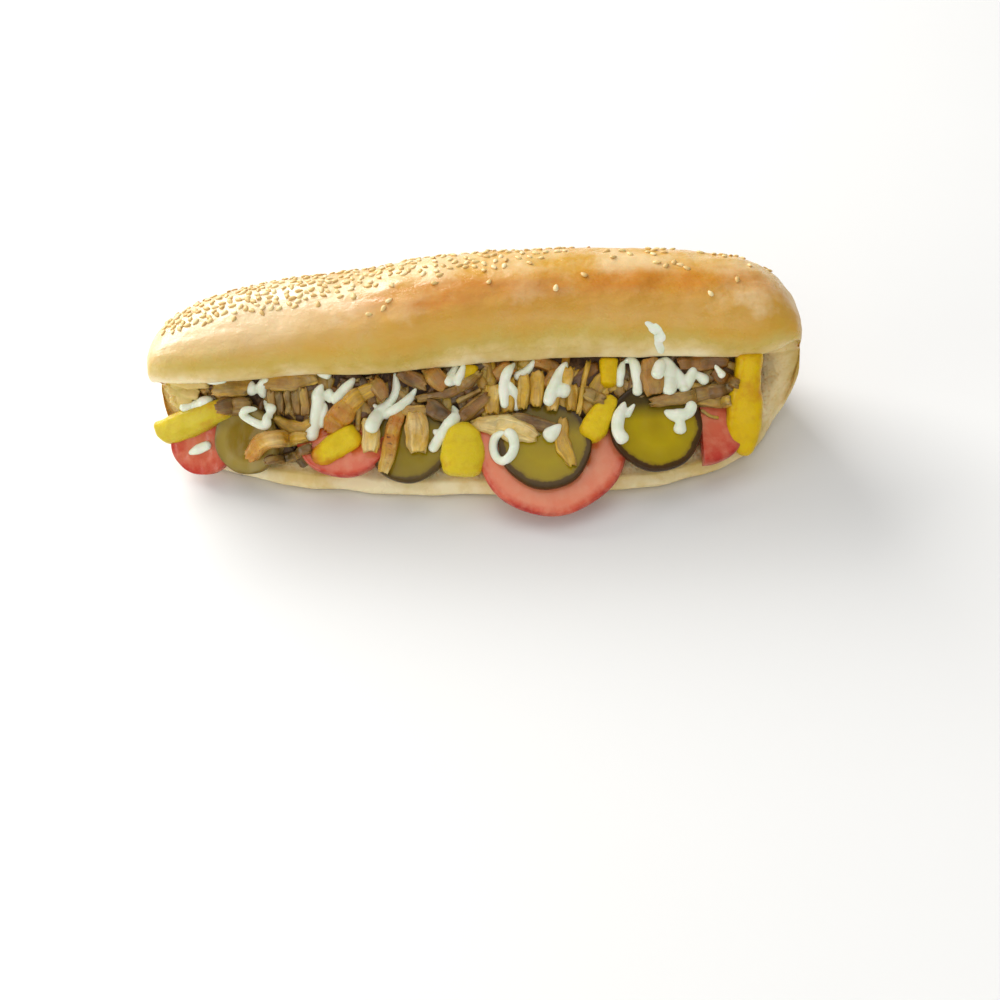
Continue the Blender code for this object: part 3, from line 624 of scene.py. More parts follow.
# How far out the surface swells: lump size in mm, detail, seed and strength
LUMPS = ((34, 2, 3.1, 0.9), (11, 2, 7.7, 0.28), (3.2, 2, 1.3, 0.05))
LONG_LUMPS = (6, 3, 4.4, 0.3)
CRUMB_LUMPS = ((2.2, 4, 5.0, 0.4), (7, 2, 2.0, 0.25))
# What the crust's values end in at the roll's two tips
TIP_VALUES = {"bake": 0.5, "browned": 0.1, "pale": 0.0, "dim": 0.15, "crumb": 0.0}
# Browned patches of the crust: x, angle over the lid (90 is the crest, more is nearer the mouth), reach in
# x and in degrees, and strength
PATCHES = (
    (-9, 111, 24, 12, 1.9),
    (36, 109, 17, 10, 1.2),
    (70, 107, 26, 13, 1.4),
    (99, 99, 10, 13, 0.9),
    (-46, 121, 20, 8, 0.4),
    (-88, 128, 11, 8, 0.35),
    (30, 128, 50, 7, 0.3),
    (-62, 104, 16, 9, 0.25),
    (0, 34, 60, 16, 0.4),
    (70, 36, 30, 16, 0.5),
    (-75, 36, 24, 14, 0.4),
    (-20, 5, 50, 18, 0.3),
)


def roll_arrays():
    """The roll's points as (rows, columns, 3), with how far each row lies in a closing cap."""
    half, mid = (ROLL_ENDS[1] - ROLL_ENDS[0]) / 2, (ROLL_ENDS[1] + ROLL_ENDS[0]) / 2
    rings, capped_by = [], []
    for k in range(ROLL_STATIONS):
        x = mid + half * math.sin(1.2 * (2 * k / (ROLL_STATIONS - 1) - 1)) / math.sin(1.2)
        flat = np.vstack((crust_points(x, FINE), crumb_points(x, FINE)))
        rings.append(np.column_stack((np.full(len(flat), x), flat)))
        capped_by.append(0.0)
    for side, x_end in zip((-1, 1), ROLL_ENDS):
        last = np.vstack((crust_points(x_end, FINE), crumb_points(x_end, FINE)))
        centre = last.mean(0)
        caps, turns = [], []
        for turn in CAP_TURNS:
            x = x_end + side * DOME * math.sin(math.radians(turn))
            flat = centre + (last - centre) * math.cos(math.radians(turn))
            caps.append(np.column_stack((np.full(len(flat), x), flat)))
            turns.append(turn / 90)
        if side < 0:
            rings, capped_by = caps[::-1] + rings, turns[::-1] + capped_by
        else:
            rings, capped_by = rings + caps, capped_by + turns
    points = notched(np.vstack(rings)).reshape(len(rings), len(rings[0]), 3)
    rows = np.arange(len(points))
    from_edge = np.minimum(np.abs(rows - len(CAP_TURNS)), np.abs(rows - len(points) + len(CAP_TURNS)))
    soft = np.clip(1 - from_edge / SOFT_ROWS, 0, 1)[1:-1, None, None]
    for _ in range(SOFT_TIMES):
        points[1:-1] += soft * (0.25 * points[:-2] + 0.25 * points[2:] - 0.5 * points[1:-1])
    return points, np.array(capped_by)


def roll_normals(points):
    """Outward normals over the roll's grid; its columns run clockwise seen from +X."""
    around = np.roll(points, -1, 1) - np.roll(points, 1, 1)
    lengthwise = np.gradient(points, axis=0)
    normals = np.cross(around, lengthwise)
    return normals / (np.linalg.norm(normals, axis=2, keepdims=True) + 1e-9)


def blurred(grid, times):
    """A grid of values, averaged with their neighbours round the section and along the roll."""
    for _ in range(times):
        grid = 0.5 * grid + 0.25 * (np.roll(grid, 1, 1) + np.roll(grid, -1, 1))
        wide = np.vstack((grid[:1], grid, grid[-1:]))
        grid = 0.5 * grid + 0.25 * (wide[:-2] + wide[2:])
    return grid


def lid_angle(x, y, z):
    """The angle in degrees over the lid's middle; 90 is straight up and more is nearer the mouth."""
    return math.degrees(math.atan2(z - along(x, LID_EDGE_Z), y - along(x, CREST_Y)))


def swell(p, lumps):
    return sum(rough(p, size, detail, seed) * strength for size, detail, seed, strength in lumps)


def crust_bake(p, column, height, behind):
    """How baked the crust is, 0 cream to 1 golden; height is 0 at the lid's edge and 1 at its crest."""
    if behind:
        return 0.68 + 0.24 * max(0.0, height) if p[2] > 6 else 0.8
    if p[2] > LID_FRONT_Z:
        return 0.05 + 0.87 * height
    if column > UNDERSIDE_COLUMN:
        return 0.06 if p[2] > 1 else 0.62
    if p[2] > HINGE_Z:
        return 0.1 + 0.35 * (p[2] - HINGE_Z) / 14
    return 0.2 + 0.02 * (HINGE_Z - p[2])


def patched(p, angle):
    """How browned a point is by the patches round it."""
    total = 0.0
    for x, turn, reach, turns, strength in PATCHES:
        far = ((p[0] - x) / reach) ** 2 + ((angle - turn) / turns) ** 2
        if far < 6:
            total += strength * math.exp(-far)
    return total


def crust_values(p, column):
    """The crust's bake, browning, paleness and shade at a point: the paleness and the paler left end are a
    painted glare, and the lower back gets painted shade, some of it as browning.
    """
    crest, edge = along(p[0], CREST_Z), along(p[0], LID_EDGE_Z)
    angle, height = lid_angle(*p), (p[2] - edge) / (crest - edge)
    behind = p[1] > along(p[0], CREST_Y)
    # painted glare: the crust is made paler towards the roll's left end
    bake = crust_bake(p, column, height, behind) - 0.2 * clamped((-72 - p[0]) / 35)
    # painted shade on the lower back: it darkens the crust there and adds a little to its browning
    shaded = clamped((56 - angle) / 40) if behind and p[2] > 1 else 0.0
    pale = 0.0
    # painted glare on the upper front of the lid, growing towards the left
    if p[2] > LID_FRONT_Z:
        pale = 0.42 * clamped((-20 - p[0]) / 45) * clamped(2.8 * height - 1.7)
    return bake, 0.15 * shaded + patched(p, angle), pale, 0.36 * shaded


def make_roll():
    """The roll as one closed skin, with the values that its colours are made from."""
    points, capped_by = roll_arrays()
    normals = roll_normals(points)
    rows, columns = points.shape[:2]
    values = {name: np.zeros((rows, columns)) for name in TIP_VALUES}
    moved = points.copy()
    for r in range(rows):
        open_here = along(points[r, 0, 0], MOUTH_OPEN) * (1 - capped_by[r])
        for c in range(columns):
            p = points[r, c]
            lump = swell(p, LUMPS) + swell((0.3 * p[0], p[1], p[2]), (LONG_LUMPS,))
            if c < CRUST_COLUMNS:
                lump = lump if p[2] >= 0.6 else 0.0
                found = crust_values(p, c)
                for name, value in zip(("bake", "browned", "pale", "dim"), found):
                    values[name][r, c] = value
            else:
                near_edge = min(c - CRUST_COLUMNS, columns - c) / FINE
                crumb = min(1.0, near_edge / 0.35) * min(1.0, open_here * 2.2)
                lump = lump * 0.4 + crumb * swell(p, CRUMB_LUMPS)
                values["crumb"][r, c] = crumb
                values["bake"][r, c] = CUT_BAKE
            moved[r, c] = p + normals[r, c] * lump
    caps = len(CAP_TURNS)
    for name, at_tip in TIP_VALUES.items():
        grid = values[name]
        for edge, cap in ((caps, range(caps)), (-caps - 1, range(-caps, 0))):
            for r in cap:
                grid[r] = grid[edge] * (1 - capped_by[r]) + at_tip * capped_by[r]
        if name != "crumb":
            values[name] = blurred(grid, 12)
    moved[..., 2] = np.maximum(moved[..., 2], 0.0)
    flat = np.vstack((moved.reshape(-1, 3), moved[0].mean(0), moved[-1].mean(0)))
    faces = grid_faces(rows, columns) + capped(rows, columns, rows * columns, rows * columns + 1)
    for name, grid in values.items():
        values[name] = np.concatenate((grid.ravel(), (grid[0].mean(), grid[-1].mean())))
    values["browned"] = np.clip(values["browned"], 0, 1)
    return Heap().add(flat, faces, **values)


# ---------------------------------------------------------------- sesame seeds
SEED_LONG, SEED_WIDE, SEED_HIGH = 2.9, 1.75, 0.9
SEEDS_WANTED = 360
SEED_SPACE = 2.5  # between two seeds' middles, in mm
# Where the seeds end towards the mouth, as (x, angle), and how thickly they lie, as (x, share)
SEED_EDGE = (
    (-108, 112), (-96, 119), (-80, 116), (-55, 110), (-26, 103), (2, 94), (20, 86), (44, 74), (108, 70),
)
SEED_CROWD = ((-108, 0.7), (-40, 0.8), (0, 0.55), (30, 0.4), (50, 0.05), (108, 0.03))
# Seeds that lie apart from the crowd, as (x, angle)
SINGLE_SEEDS = [
    (-11, 101), (-27, 115), (-29, 122), (-34, 126), (8, 105), (31, 114), (41, 101), (100, 74), (94, 105),
    (84, 121), (67, 84), (70, 88), (73, 83), (77, 92), (75, 87), (52, 78), (58, 70),
]


def seed_places():
    """Seeded random places on the lid, as (x, angle): dense on its top and left, thin elsewhere."""
    chance = random.Random(23)
    places = list(SINGLE_SEEDS)
    for _ in range(60000):
        if len(places) >= SEEDS_WANTED:
            break
        x, angle = chance.uniform(-109, 108), chance.gauss(74, 26)
        cluster = noise.noise(Vector((x / 13, angle / 16, 4.2)))
        edge, thick = along(x, SEED_EDGE), along(x, SEED_CROWD)
        if not 22 < angle < edge or chance.random() > thick + cluster:
            continue
        if angle > edge - 9 and chance.random() > 0.4:
            continue
        if all(math.hypot(x - px, 0.42 * (angle - pa)) > SEED_SPACE for px, pa in places):
            places.append((x, angle))
    return places


def seed_shape(around=8, rings=5):
    """A flat drop: points in units of half its sizes, its faces, and how near the tip each point is."""
    points, tip = [], []
    for r in range(rings):
        t = (r + 0.5) / rings * 2 - 1
        wide = math.sqrt(1 - t * t) * (1 - 0.28 * t)
        for a in range(around):
            turn = 2 * math.pi * a / around
            points.append((t, wide * math.cos(turn), wide * math.sin(turn)))
            tip.append(max(0.0, t))
    points += [(-1, 0, 0), (1.08, 0, 0)]
    tip += [0.0, 1.0]
    faces = grid_faces(rings, around) + capped(rings, around, rings * around, rings * around + 1)
    return np.array(points), faces, np.array(tip)


def make_seeds(tree):
    """The seeds, half pressed into the crust."""
    heap, chance = Heap(), random.Random(31)
    shape, faces, tip = seed_shape()
    for x, angle in seed_places():
        a = math.radians(angle)
        middle = Vector((x, along(x, CREST_Y), along(x, LID_EDGE_Z)))
        ray = Vector((0, math.cos(a), math.sin(a)))
        place, normal = tree.ray_cast(middle + ray * 60, -ray, 80)[:2]
        if place is None:
            continue
        normal = np.array(normal) * (1 if normal.dot(ray) > 0 else -1)
        turn = chance.uniform(0, 2 * math.pi)
        other = unit(np.cross(normal, (1, 0, 0)))
        first = np.cross(other, normal)
        long_way = first * math.cos(turn) + other * math.sin(turn)
        long_way = unit(long_way + normal * chance.uniform(-0.18, 0.18))
        wide_way = np.cross(normal, long_way)
        size = chance.uniform(0.86, 1.1)
        sizes = np.array((SEED_LONG, SEED_WIDE * chance.uniform(0.9, 1.1), SEED_HIGH)) * size / 2
        axes = np.stack((long_way * sizes[0], wide_way * sizes[1], normal * sizes[2]))
        points = shape @ axes + np.array(place) + normal * SEED_HIGH * 0.22
        heap.add(points, faces, tone=chance.random(), tip=tip)
    return heap


# ---------------------------------------------------------------- what the filling is made of
# Slices: x, down the mouth, lift, radius, top pushed in, right side pushed in; then paleness, painted shade
# on top and painted shade all over for the pickles, and wedge and depth of colour for the tomatoes
PICKLES = (
    (-81.5, 21, 4.2, 12.6, 12, -4, 0.9, 0.3, 0.12),
    (-23, 25, 2.2, 14.4, 17, 0, 0.25, 0.6, 0.3),
    (25, 28, 4.6, 16.4, 19, 2, 0.1, 0.6, 0.1),
    (64, 23, 4.0, 16.4, 16, 0, 0.0, 0.92, 0.0),
)
TOMATOES = (
    (-99, 20.5, 3.6, 12.2, 24, 28, None, 1.0),
    (-46, 19, -0.8, 18.0, 28, 0, None, 0.45),
    (27, 27, 0.6, 27.0, 17, 3, None, 0.0),
    (80, 21, 0.6, 17.0, 24, 0, (-88, 92), 1.0),
)
# Chips: both ends as (x, down, lift), half thickness, the outline as (share of the length, reach to the left,
# reach to the right), seen from outside with the first end nearest, tone, and how browned each end is
CHIPS = (
    (
        (-116.2, 16.6, 4.4), (-86, 9.3, 2.2), 4.8,
        ((0, 4.6, 0.8), (0.04, 4.8, 2.4), (0.11, 4.9, 5.4), (0.4, 5.0, 5.2), (0.8, 4.5, 3.8), (1, 3.6, 3.0)),
        0.8, (0.1, 0.25),
    ),
    (
        (-57.8, 29.6, 4.6), (-41.5, 19.0, 1.5), 5.0,
        ((0, 1.6, 1.8), (0.08, 2.7, 3.3), (0.22, 3.5, 5.0), (0.5, 3.9, 5.8), (0.85, 3.5, 6.2), (1, 2.8, 5.4)),
        0.45, (1.0, 0.0),
    ),
    (
        (-5.0, 37.5, 5.5), (-3.0, 18.4, 2.0), 5.6,
        ((0, 5.0, 5.0), (0.08, 7.0, 7.0), (0.3, 8.0, 7.9), (0.6, 7.5, 7.2), (0.82, 5.9, 5.9), (1, 1.6, 1.8)),
        0.6, (0.3, 0.0),
    ),
    (
        (39.3, 26.5, 3.4), (50.0, 12.0, 0.8), 5.0,
        ((0, 3.4, 3.6), (0.1, 4.3, 4.6), (0.3, 4.9, 5.2), (0.6, 4.6, 3.9), (0.85, 3.4, 2.9), (1, 1.8, 1.8)),
        0.35, (0.3, 0.0),
    ),
    (
        (95.6, 34.6, 6.2), (97.8, -1.6, 2.0), 5.2,
        ((0, 1.6, 1.6), (0.07, 4.3, 3.6), (0.17, 6.2, 4.9), (0.3, 7.1, 5.5), (0.54, 7.3, 5.3),
         (0.69, 5.3, 4.6), (1, 4.3, 4.3)),
        0.1, (0.0, 0.36),
    ),
    (
        (48.2, 8.6, 1.4), (49.0, -2.0, -1.5), 3.2, ((0, 2.0, 2.0), (0.12, 3.1, 3.1), (1, 3.3, 3.3)),
        0.15, (0.2, 0.1),
    ),
    (
        (-2.6, 6.4, 1.0), (-0.4, -2.0, -1.5), 3.0, ((0, 1.8, 1.8), (0.14, 2.8, 2.8), (1, 3.0, 3.0)),
        0.2, (0.2, 0.1),
    ),
)
# Chicken: points as (x, down), half widths along the piece, half thickness, tone (0 dark, 0.25 brown, 0.5
# tan, 0.75 golden, 1 pale) and how roasted it is along its length
CHICKEN = (
    (((-91.5, 2.4), (-78.8, 2.0)), (3.2, 3.4), 1.6, 0.55, (0.1, 0.1)),
    (((-90, 9.2), (-79.5, 8.6)), (2.6, 3.2, 2.4), 2.2, 0.25, (0.1, 0.1)),
    (((-73, 1.2), (-64.3, 1.4), (-54.5, 0.2)), (2.6, 3.0, 2.2), 1.6, 0.55, (0.1, 0.1)),
    (((-71.3, 3.8), (-71.6, 12.4)), (1.4, 1.4), 1.7, 0.45, (0.0, 0.1)),
    (((-68.3, 4.4), (-68.4, 12.0)), (1.5, 1.5), 1.8, 0.3, (0.0, 0.1)),
    (((-65.3, 4.4), (-65.6, 12.4)), (1.5, 1.5), 1.7, 0.44, (0.0, 0.1)),
    (((-62.4, 4.6), (-62.6, 12.2)), (1.4, 1.4), 1.8, 0.32, (0.0, 0.1)),
    (((-59.4, 4.2), (-59.8, 12.8)), (1.5, 1.5), 1.7, 0.4, (0.0, 0.1)),
    (((-71.6, 13.2), (-66.7, 16.3), (-61.4, 17.4), (-57.8, 16.0)), (1.6, 2.2, 1.8), 1.7, 0.64, (0.1, 0.0)),
    (((-74, 28.8), (-65.4, 27.3), (-58, 25.2)), (1.5, 2.0, 1.6), 1.6, 0.3, (0.0, 0.0)),
    (((-80.4, 27.2), (-75.4, 22.8), (-68.7, 21.2), (-59.6, 20.9)), (2.6, 3.1, 2.8, 2.3), 2.4, 0.82,
     (0.9, 0.5, 0.0, 0.0)),
    (((-51, 19.6), (-46.4, 13.4), (-40.4, 7.8), (-34.4, 4.6)), (3.4, 4.2, 3.6, 2.2), 2.2, 0.66,
     (0.9, 0.7, 0.2, 0.1)),
    (((-40.1, 9.4), (-40.6, 14.5), (-41.2, 19.8)), (0.9, 0.9), 1.0, 0.55, (0.0, 0.0)),
    (((-34.5, 1.6), (-30.8, 9.0)), (2.6, 2.8, 2.0), 2.0, 0.35, (0.3, 0.2)),
    (((-36.2, 15.6), (-36.6, 27.2)), (3.0, 3.3, 2.9), 2.6, 0.9, (0.0, 0.0)),
    (((-26.2, 13.2), (-28.9, 23.6), (-32, 34.6)), (2.8, 2.8, 2.4), 2.2, 0.78, (1.0, 0.9, 0.0)),
    (((-20.5, 14.2), (-20.0, 21), (-19.8, 28.2)), (3.6, 4.3, 3.6), 2.0, 0.84, (0.3, 0.0)),
    (((-26.5, 13.0), (-16.4, 13.9)), (1.8, 2.0), 1.6, 0.5, (0.3, 0.1)),
    (((-25.6, -0.6), (-16, 4.9)), (2.4, 2.8, 2.2), 2.0, 0.28, (0.2, 0.2)),
    (((-15.4, -1.0), (-9.0, 6.3)), (3.0, 3.4, 3.0), 2.0, 0.42, (0.5, 0.4)),
    (((-19.4, 9.4), (-9.5, 8.0), (-2.3, 5.4), (3.4, 1.4)), (1.3, 1.8, 1.9, 1.4), 1.5, 0.34, (0.1, 0.1)),
    (((-16.2, 11.4), (-7.8, 17.4)), (2.7, 3.0, 2.3), 2.2, 0.18, (0.0, 0.0)),
    (((-4.6, 17.2), (5.8, 9.4)), (2.0, 2.3, 1.8), 1.6, 0.34, (0.1, 0.1)),
    (((-5.4, 11.2), (3.2, 7.2)), (0.9, 1.0), 0.9, 0.5, (0.0, 0.0)),
    (((7.5, 6.2), (6.8, 15.8)), (2.8, 3.0, 2.7), 1.8, 0.76, (0.1, 0.1)),
    (((8.5, 2.6), (14.4, -0.4)), (2.4, 2.6), 1.8, 0.4, (0.6, 0.6)),
    (((18.6, 2.8), (17.8, 14.6)), (2.2, 2.4, 2.1), 1.8, 0.76, (0.1, 0.1)),
    (((23.4, 2.2), (22.9, 13.8)), (2.3, 2.5, 2.2), 1.8, 0.78, (0.2, 0.1)),
    (((22.6, -2.2), (29.6, 1.5), (25.8, 7.2)), (2.2, 2.6, 1.8), 1.6, 0.4, (0.6, 0.6)),
    (((34.3, 1.2), (33.2, 7.8)), (1.8, 2.0, 1.7), 1.6, 0.76, (0.1, 0.1)),
    (((12.9, 4.0), (12.4, 15.4)), (2.2, 2.4), 1.6, 0.75, (0.1, 0.1)),
    (((28.6, 5.2), (28.0, 15.6)), (2.3, 2.6, 2.2), 1.7, 0.78, (0.1, 0.1)),
    (((35.6, 7.2), (34.8, 15.8)), (1.8, 2.0), 1.5, 0.74, (0.1, 0.1)),
    (((41.5, -1.0), (39.4, 7.3), (37.0, 17.2)), (0.9, 1.05, 0.9), 1.1, 0.68, (0.0, 0.0)),
    (((39.8, 10.4), (46.2, 13.2)), (2.4, 2.6, 2.0), 1.8, 0.4, (0.0, 0.0)),
    (((-0.6, 19.2), (7.6, 20.0), (16.3, 22.8), (22.0, 25.2)), (1.2, 4.0, 4.6, 2.4), 1.8, 0.97, (0.0, 0.0)),
    (((14.4, 18.2), (21.7, 20.0), (29.4, 22.2)), (2.0, 2.3, 1.7), 1.6, 0.27, (0.0, 0.0)),
    (((31.7, 19.2), (31.2, 26.3), (33.8, 35.6)), (1.4, 2.2, 2.9, 1.6), 1.2, 0.66, (0.1, 0.0)),
    (((63.1, -0.4), (64.1, 12.0)), (3.6, 4.3, 3.4), 2.2, 0.45, (0.4, 0.3)),
    (((62.6, 14.8), (76.6, 13.0), (91.6, 10.4)), (1.8, 2.4, 2.8, 2.2), 1.8, 0.36, (0.1, 0.0)),
    (((78.4, 15.2), (90.6, 15.4)), (1.6, 2.2, 2.0), 1.5, 0.5, (0.0, 0.0)),
    (((80.4, 17.8), (83.3, 20.0), (86.4, 20.9)), (0.6, 0.55), 0.5, 0.5, (0.0, 0.0)),
    (((73.2, 1.8), (89.8, 1.4)), (2.6, 3.0, 2.4), 1.6, 0.18, (0.3, 0.3)),
    (((85.4, 4.6), (93.0, 10.0)), (2.4, 2.6, 2.0), 1.8, 0.3, (0.2, 0.2)),
)
# Torn bread at the left end, in the same way, without tone
WEB_BAKE = 0.34
WEB = (
    (((-109, -0.8), (-104, 1.2), (-98, 3.8)), (2.8, 3.6, 2.2), 2.2),
    (((-107, -2.8), (-101, -1.2), (-93.5, 0.4)), (2.6, 3.2, 1.8), 2.2),
    (((-109, 4.2), (-105, 6.2), (-101, 7.4)), (2.4, 3.2, 2.0), 2.0),
    (((-105.5, -2), (-103.5, 3.4), (-104.5, 8.0)), (2.6, 3.0, 2.6), 2.4),
)
CORE_ENDS = (-99, 100)
CORE_STATIONS = 150
CORE_GAP = 1.0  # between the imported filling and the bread
CORE_LUMPS = ((6.5, 3, 8.0, 2.2), (2.2, 2, 3.0, 0.8))
FILLERS = 210  # more strips, thrown over the core in a seeded random way
SHREDS = 110  # thin fibres between them
END_STRIPS = 70  # and strips over the core's two ends
GOLDEN_X = (4, 46)  # the stretch where most of the chicken is golden
SAUCE_SIDES = 16
SAUCE_SWELL = 1.2  # the strands' radii are made larger by this
SAUCE_VOXEL, SAUCE_SMOOTHING = 0.3, 10
# Mayonnaise: strokes over the filling as (x, down), with the strand's radius along each
DRIZZLE = (
    (((-92.6, 5.7), (-96.6, 7.0), (-102, 7.8), (-105.6, 8.2)), (2.3, 2.0, 1.6, 1.2)),
    (((-94.2, 0.3), (-90.2, 0.2), (-86.3, 0)), (1.0, 1.0, 0.9)),
    (((-77.8, 0.2), (-78.7, 5.3)), (1.5, 1.7)),
    (((-71.6, 0.1), (-74.2, 1.3), (-74.7, 4.1), (-74.1, 6.4)), (1.4, 1.7, 1.6, 0.8)),
    (((-74.4, 7.1), (-72.8, 9.5), (-70.1, 11.7)), (1.0, 1.5, 1.9)),
    (((-76.1, 10.4), (-79.6, 10.6), (-81.5, 11.9), (-79.1, 14.2), (-74.5, 16.5), (-72.8, 16.0), (-73.0, 13.7),
      (-71.2, 12.2)), (1.2, 1.3)),
    (((-52.6, 2.6), (-54.5, 5.7), (-54.9, 9.3), (-56.3, 15.2), (-58.5, 22.4)), (1.5, 2.1, 1.9, 1.8, 2.3)),
    (((-53.6, 8.6), (-52.9, 11.1), (-54.6, 18.0)), (1.5, 1.6, 1.4)),
    (((-41.1, 1.0), (-44.9, 5.1), (-49.6, 9.6)), (1.6, 1.8, 2.0)),
    (((-50.4, 9.4), (-51.2, 6.4), (-49.2, 5.4)), (1.6, 1.4)),
    (((-54.8, -1.2), (-49.4, -0.9)), (1.8, 1.8)),
    (((-26.9, -0.4), (-26.8, 6.0), (-29.1, 10.1), (-33.6, 14.5), (-36.3, 20.9)), (1.2, 1.3, 1.6, 2.3, 2.6)),
    (((-19.5, 5.4), (-22.7, 9.7), (-27.5, 13.0), (-32.2, 15)), (1.1, 1.4, 1.5, 1.6)),
    (((-35.4, 11.5), (-34, 10.7)), (1.5, 1.5)),
    (((-4.5, -2.4), (-6.8, 1.6), (-8.3, 5.6)), (1.5, 1.6, 1.7)),
    (((-2.2, -2.2), (-4.1, 2.8), (-5.3, 5.6)), (1.4, 1.5, 1.5)),
    (((-7.2, 12.0), (-6.3, 15.8), (-9.4, 20.2), (-13.9, 26.4), (-15, 28.6)), (0.9, 2.3, 1.9, 1.7, 1.7)),
    (((-14.2, 20.6), (-12.6, 22.4)), (1.5, 1.6)),
    (((15.7, -2.1), (12.3, 2.8), (11.3, 8.4), (11.4, 14.4)), (1.1, 1.6, 1.7, 1.2)),
    (((22.8, -2.5), (19.8, 1.1), (15.1, 3.7)), (1.2, 1.3, 1.4)),
    (((13.2, 5.0), (15.3, 10.1), (15.4, 15.5)), (1.5, 1.6, 1.1)),
    (((34, -1.3), (30.6, 4.4), (28.2, 9.2), (26.3, 14.3)), (1.6, 1.8, 1.9, 1.8)),
    (((28.5, 10.6), (31.6, 9.0), (34.4, 10.2)), (3.0, 2.2, 2.3)),
    (((10.9, 22.7), (7.6, 24.6), (6.7, 28.2), (7.8, 31.6), (10.2, 33.0), (13, 31), (14.2, 27.6), (13.4, 24),
      (10.9, 22.7)), (1.3, 1.5)),
    (((30.8, 21.0), (28, 23.6), (25, 26)), (1.8, 2.2, 2.7)),
    (((53.9, -0.6), (52.4, 4.4), (52.1, 8.8)), (1.4, 1.4, 1.3)),
    (((53.9, -0.6), (57.2, -0.1), (58.3, 6.4), (58, 12.2)), (1.4, 1.7, 1.6, 1.4)),
    (((68.1, -1.1), (65.8, 3.2), (64.6, 6.8)), (1.6, 2.0, 1.8)),
    (((68.2, -1.2), (68.6, 5.2), (69.4, 12.6)), (4.4, 3.4, 1.9)),
    (((69.5, 0.6), (73.4, 7.1), (74.7, 12.0)), (2.0, 1.9, 1.4)),
    (((74.7, 12.0), (76.9, 6.6), (78.6, 2.9)), (1.4, 1.6, 1.4)),
    (((78.2, 4.2), (81.1, 6.8), (83.3, 8.3)), (1.3, 1.6, 1.7)),
    (((85.3, 2.6), (88.3, 7.3)), (1.1, 1.4)),
    (((53.6, 14), (51, 19.5), (50.5, 24.4), (52.9, 28.6)), (1.4, 1.9, 2.0, 2.3)),
    (((57, 14.9), (53.3, 19.4)), (1.1, 1.4)),
    (((66.9, 18), (71, 19.7), (75.7, 18.7), (77, 14.8)), (1.8, 2.0, 1.9, 1.6)),
    (((72.8, 20.5), (71.8, 26.4)), (2.2, 1.9)),
    (((-104.4, 24.5), (-100.2, 23.1), (-95.6, 21.5)), (1.3, 1.5, 1.3)),
)
# Thin wipes of it on the lid, in the same way
LID_SMEARS = (
    (((60.6, -12.8), (63.0, -11.0), (65.4, -8.4)), (1.2, 1.7, 1.4)),
    (((64.4, -12.4), (66.6, -9.4), (67.0, -5.4)), (1.0, 1.2, 1.0)),
    (((64.4, -9.6), (66.0, -5.8), (66.9, -1.6)), (1.6, 1.8, 1.0)),
)


def add_tube(heap, rows, **values):
    """Adds a tube of closed rows, its ends closed to a point."""
    count, sides = rows.shape[:2]
    points = np.vstack((rows.reshape(-1, 3), rows[0].mean(0), rows[-1].mean(0)))
    faces = grid_faces(count, sides) + capped(count, sides, count * sides, count * sides + 1)
    heap.add(points, faces, **values)


def lengths_along(points):
    """How far along the line through the points each of them lies."""
    return np.concatenate(([0.0], np.cumsum(np.linalg.norm(np.diff(points, axis=0), axis=1))))


def axes_along(points, i, out=OUT):
    """The line's own direction at its point i, the one across it and the one away from the surface."""
    run = unit(points[min(i + 1, len(points) - 1)] - points[max(i - 1, 0)])
    side = unit(np.cross(run, out))
    return run, side, np.cross(side, run)


def resampled(points, step):
    """The line through points, in even steps of about the given length."""
    points = np.asarray(points, float)
    lengths = lengths_along(points)
    count = max(3, int(round(lengths[-1] / step)) + 1)
    at = np.linspace(0, lengths[-1], count)
    return np.stack([np.interp(at, lengths, points[:, k]) for k in range(points.shape[1])], axis=1)


def height_in_mouth(tree, x, down):
    """How high the tree's surface lies over a place in the mouth."""
    start = in_mouth(x, down, 40)
    hit = tree.ray_cast(Vector(start), Vector(-OUT), 80)[0]
    return float((np.array(hit) - in_mouth(x, down)) @ OUT) if hit else -9.0


def eased(values, by=1):
    """Each value averaged with its neighbours, as often as by says."""
    values = np.asarray(values, float)
    for _ in range(by):
        wide = np.concatenate((values[:1], values, values[-1:]))
        values = 0.25 * wide[:-2] + 0.5 * wide[1:-1] + 0.25 * wide[2:]
    return values


def spread_along(values, share):
    """Values given at even steps along a piece, read at each share of its length."""
    return np.interp(share, np.linspace(0, 1, len(values)), values)


def surface_under(tree, path, step, lowest):
    """The path of (x, down) in even steps, and how high the tree's surface lies under each."""
    line = resampled(np.vstack((curve_through(path, 8), [path[-1]])), step)
    return line, np.array([max(height_in_mouth(tree, x, d), lowest) for x, d in line])


def draped(tree, path, half_thick, step, sag, ease=4):
    """A strip's path of (x, down), laid on what already lies in the mouth and sunk in by a share of sag."""
    line, under = surface_under(tree, path, step, -4.0)
    lifts = np.maximum(eased(under, ease), under - 0.4 * half_thick) + half_thick * (1 - sag)
    return np.array([in_mouth(x, d, lift) for (x, d), lift in zip(line, eased(lifts, 2))])


def wander(at, key):
    """Smooth noise about 0 along a line, different for each key."""
    return noise.noise(Vector((at, key, 0.37 * key)))


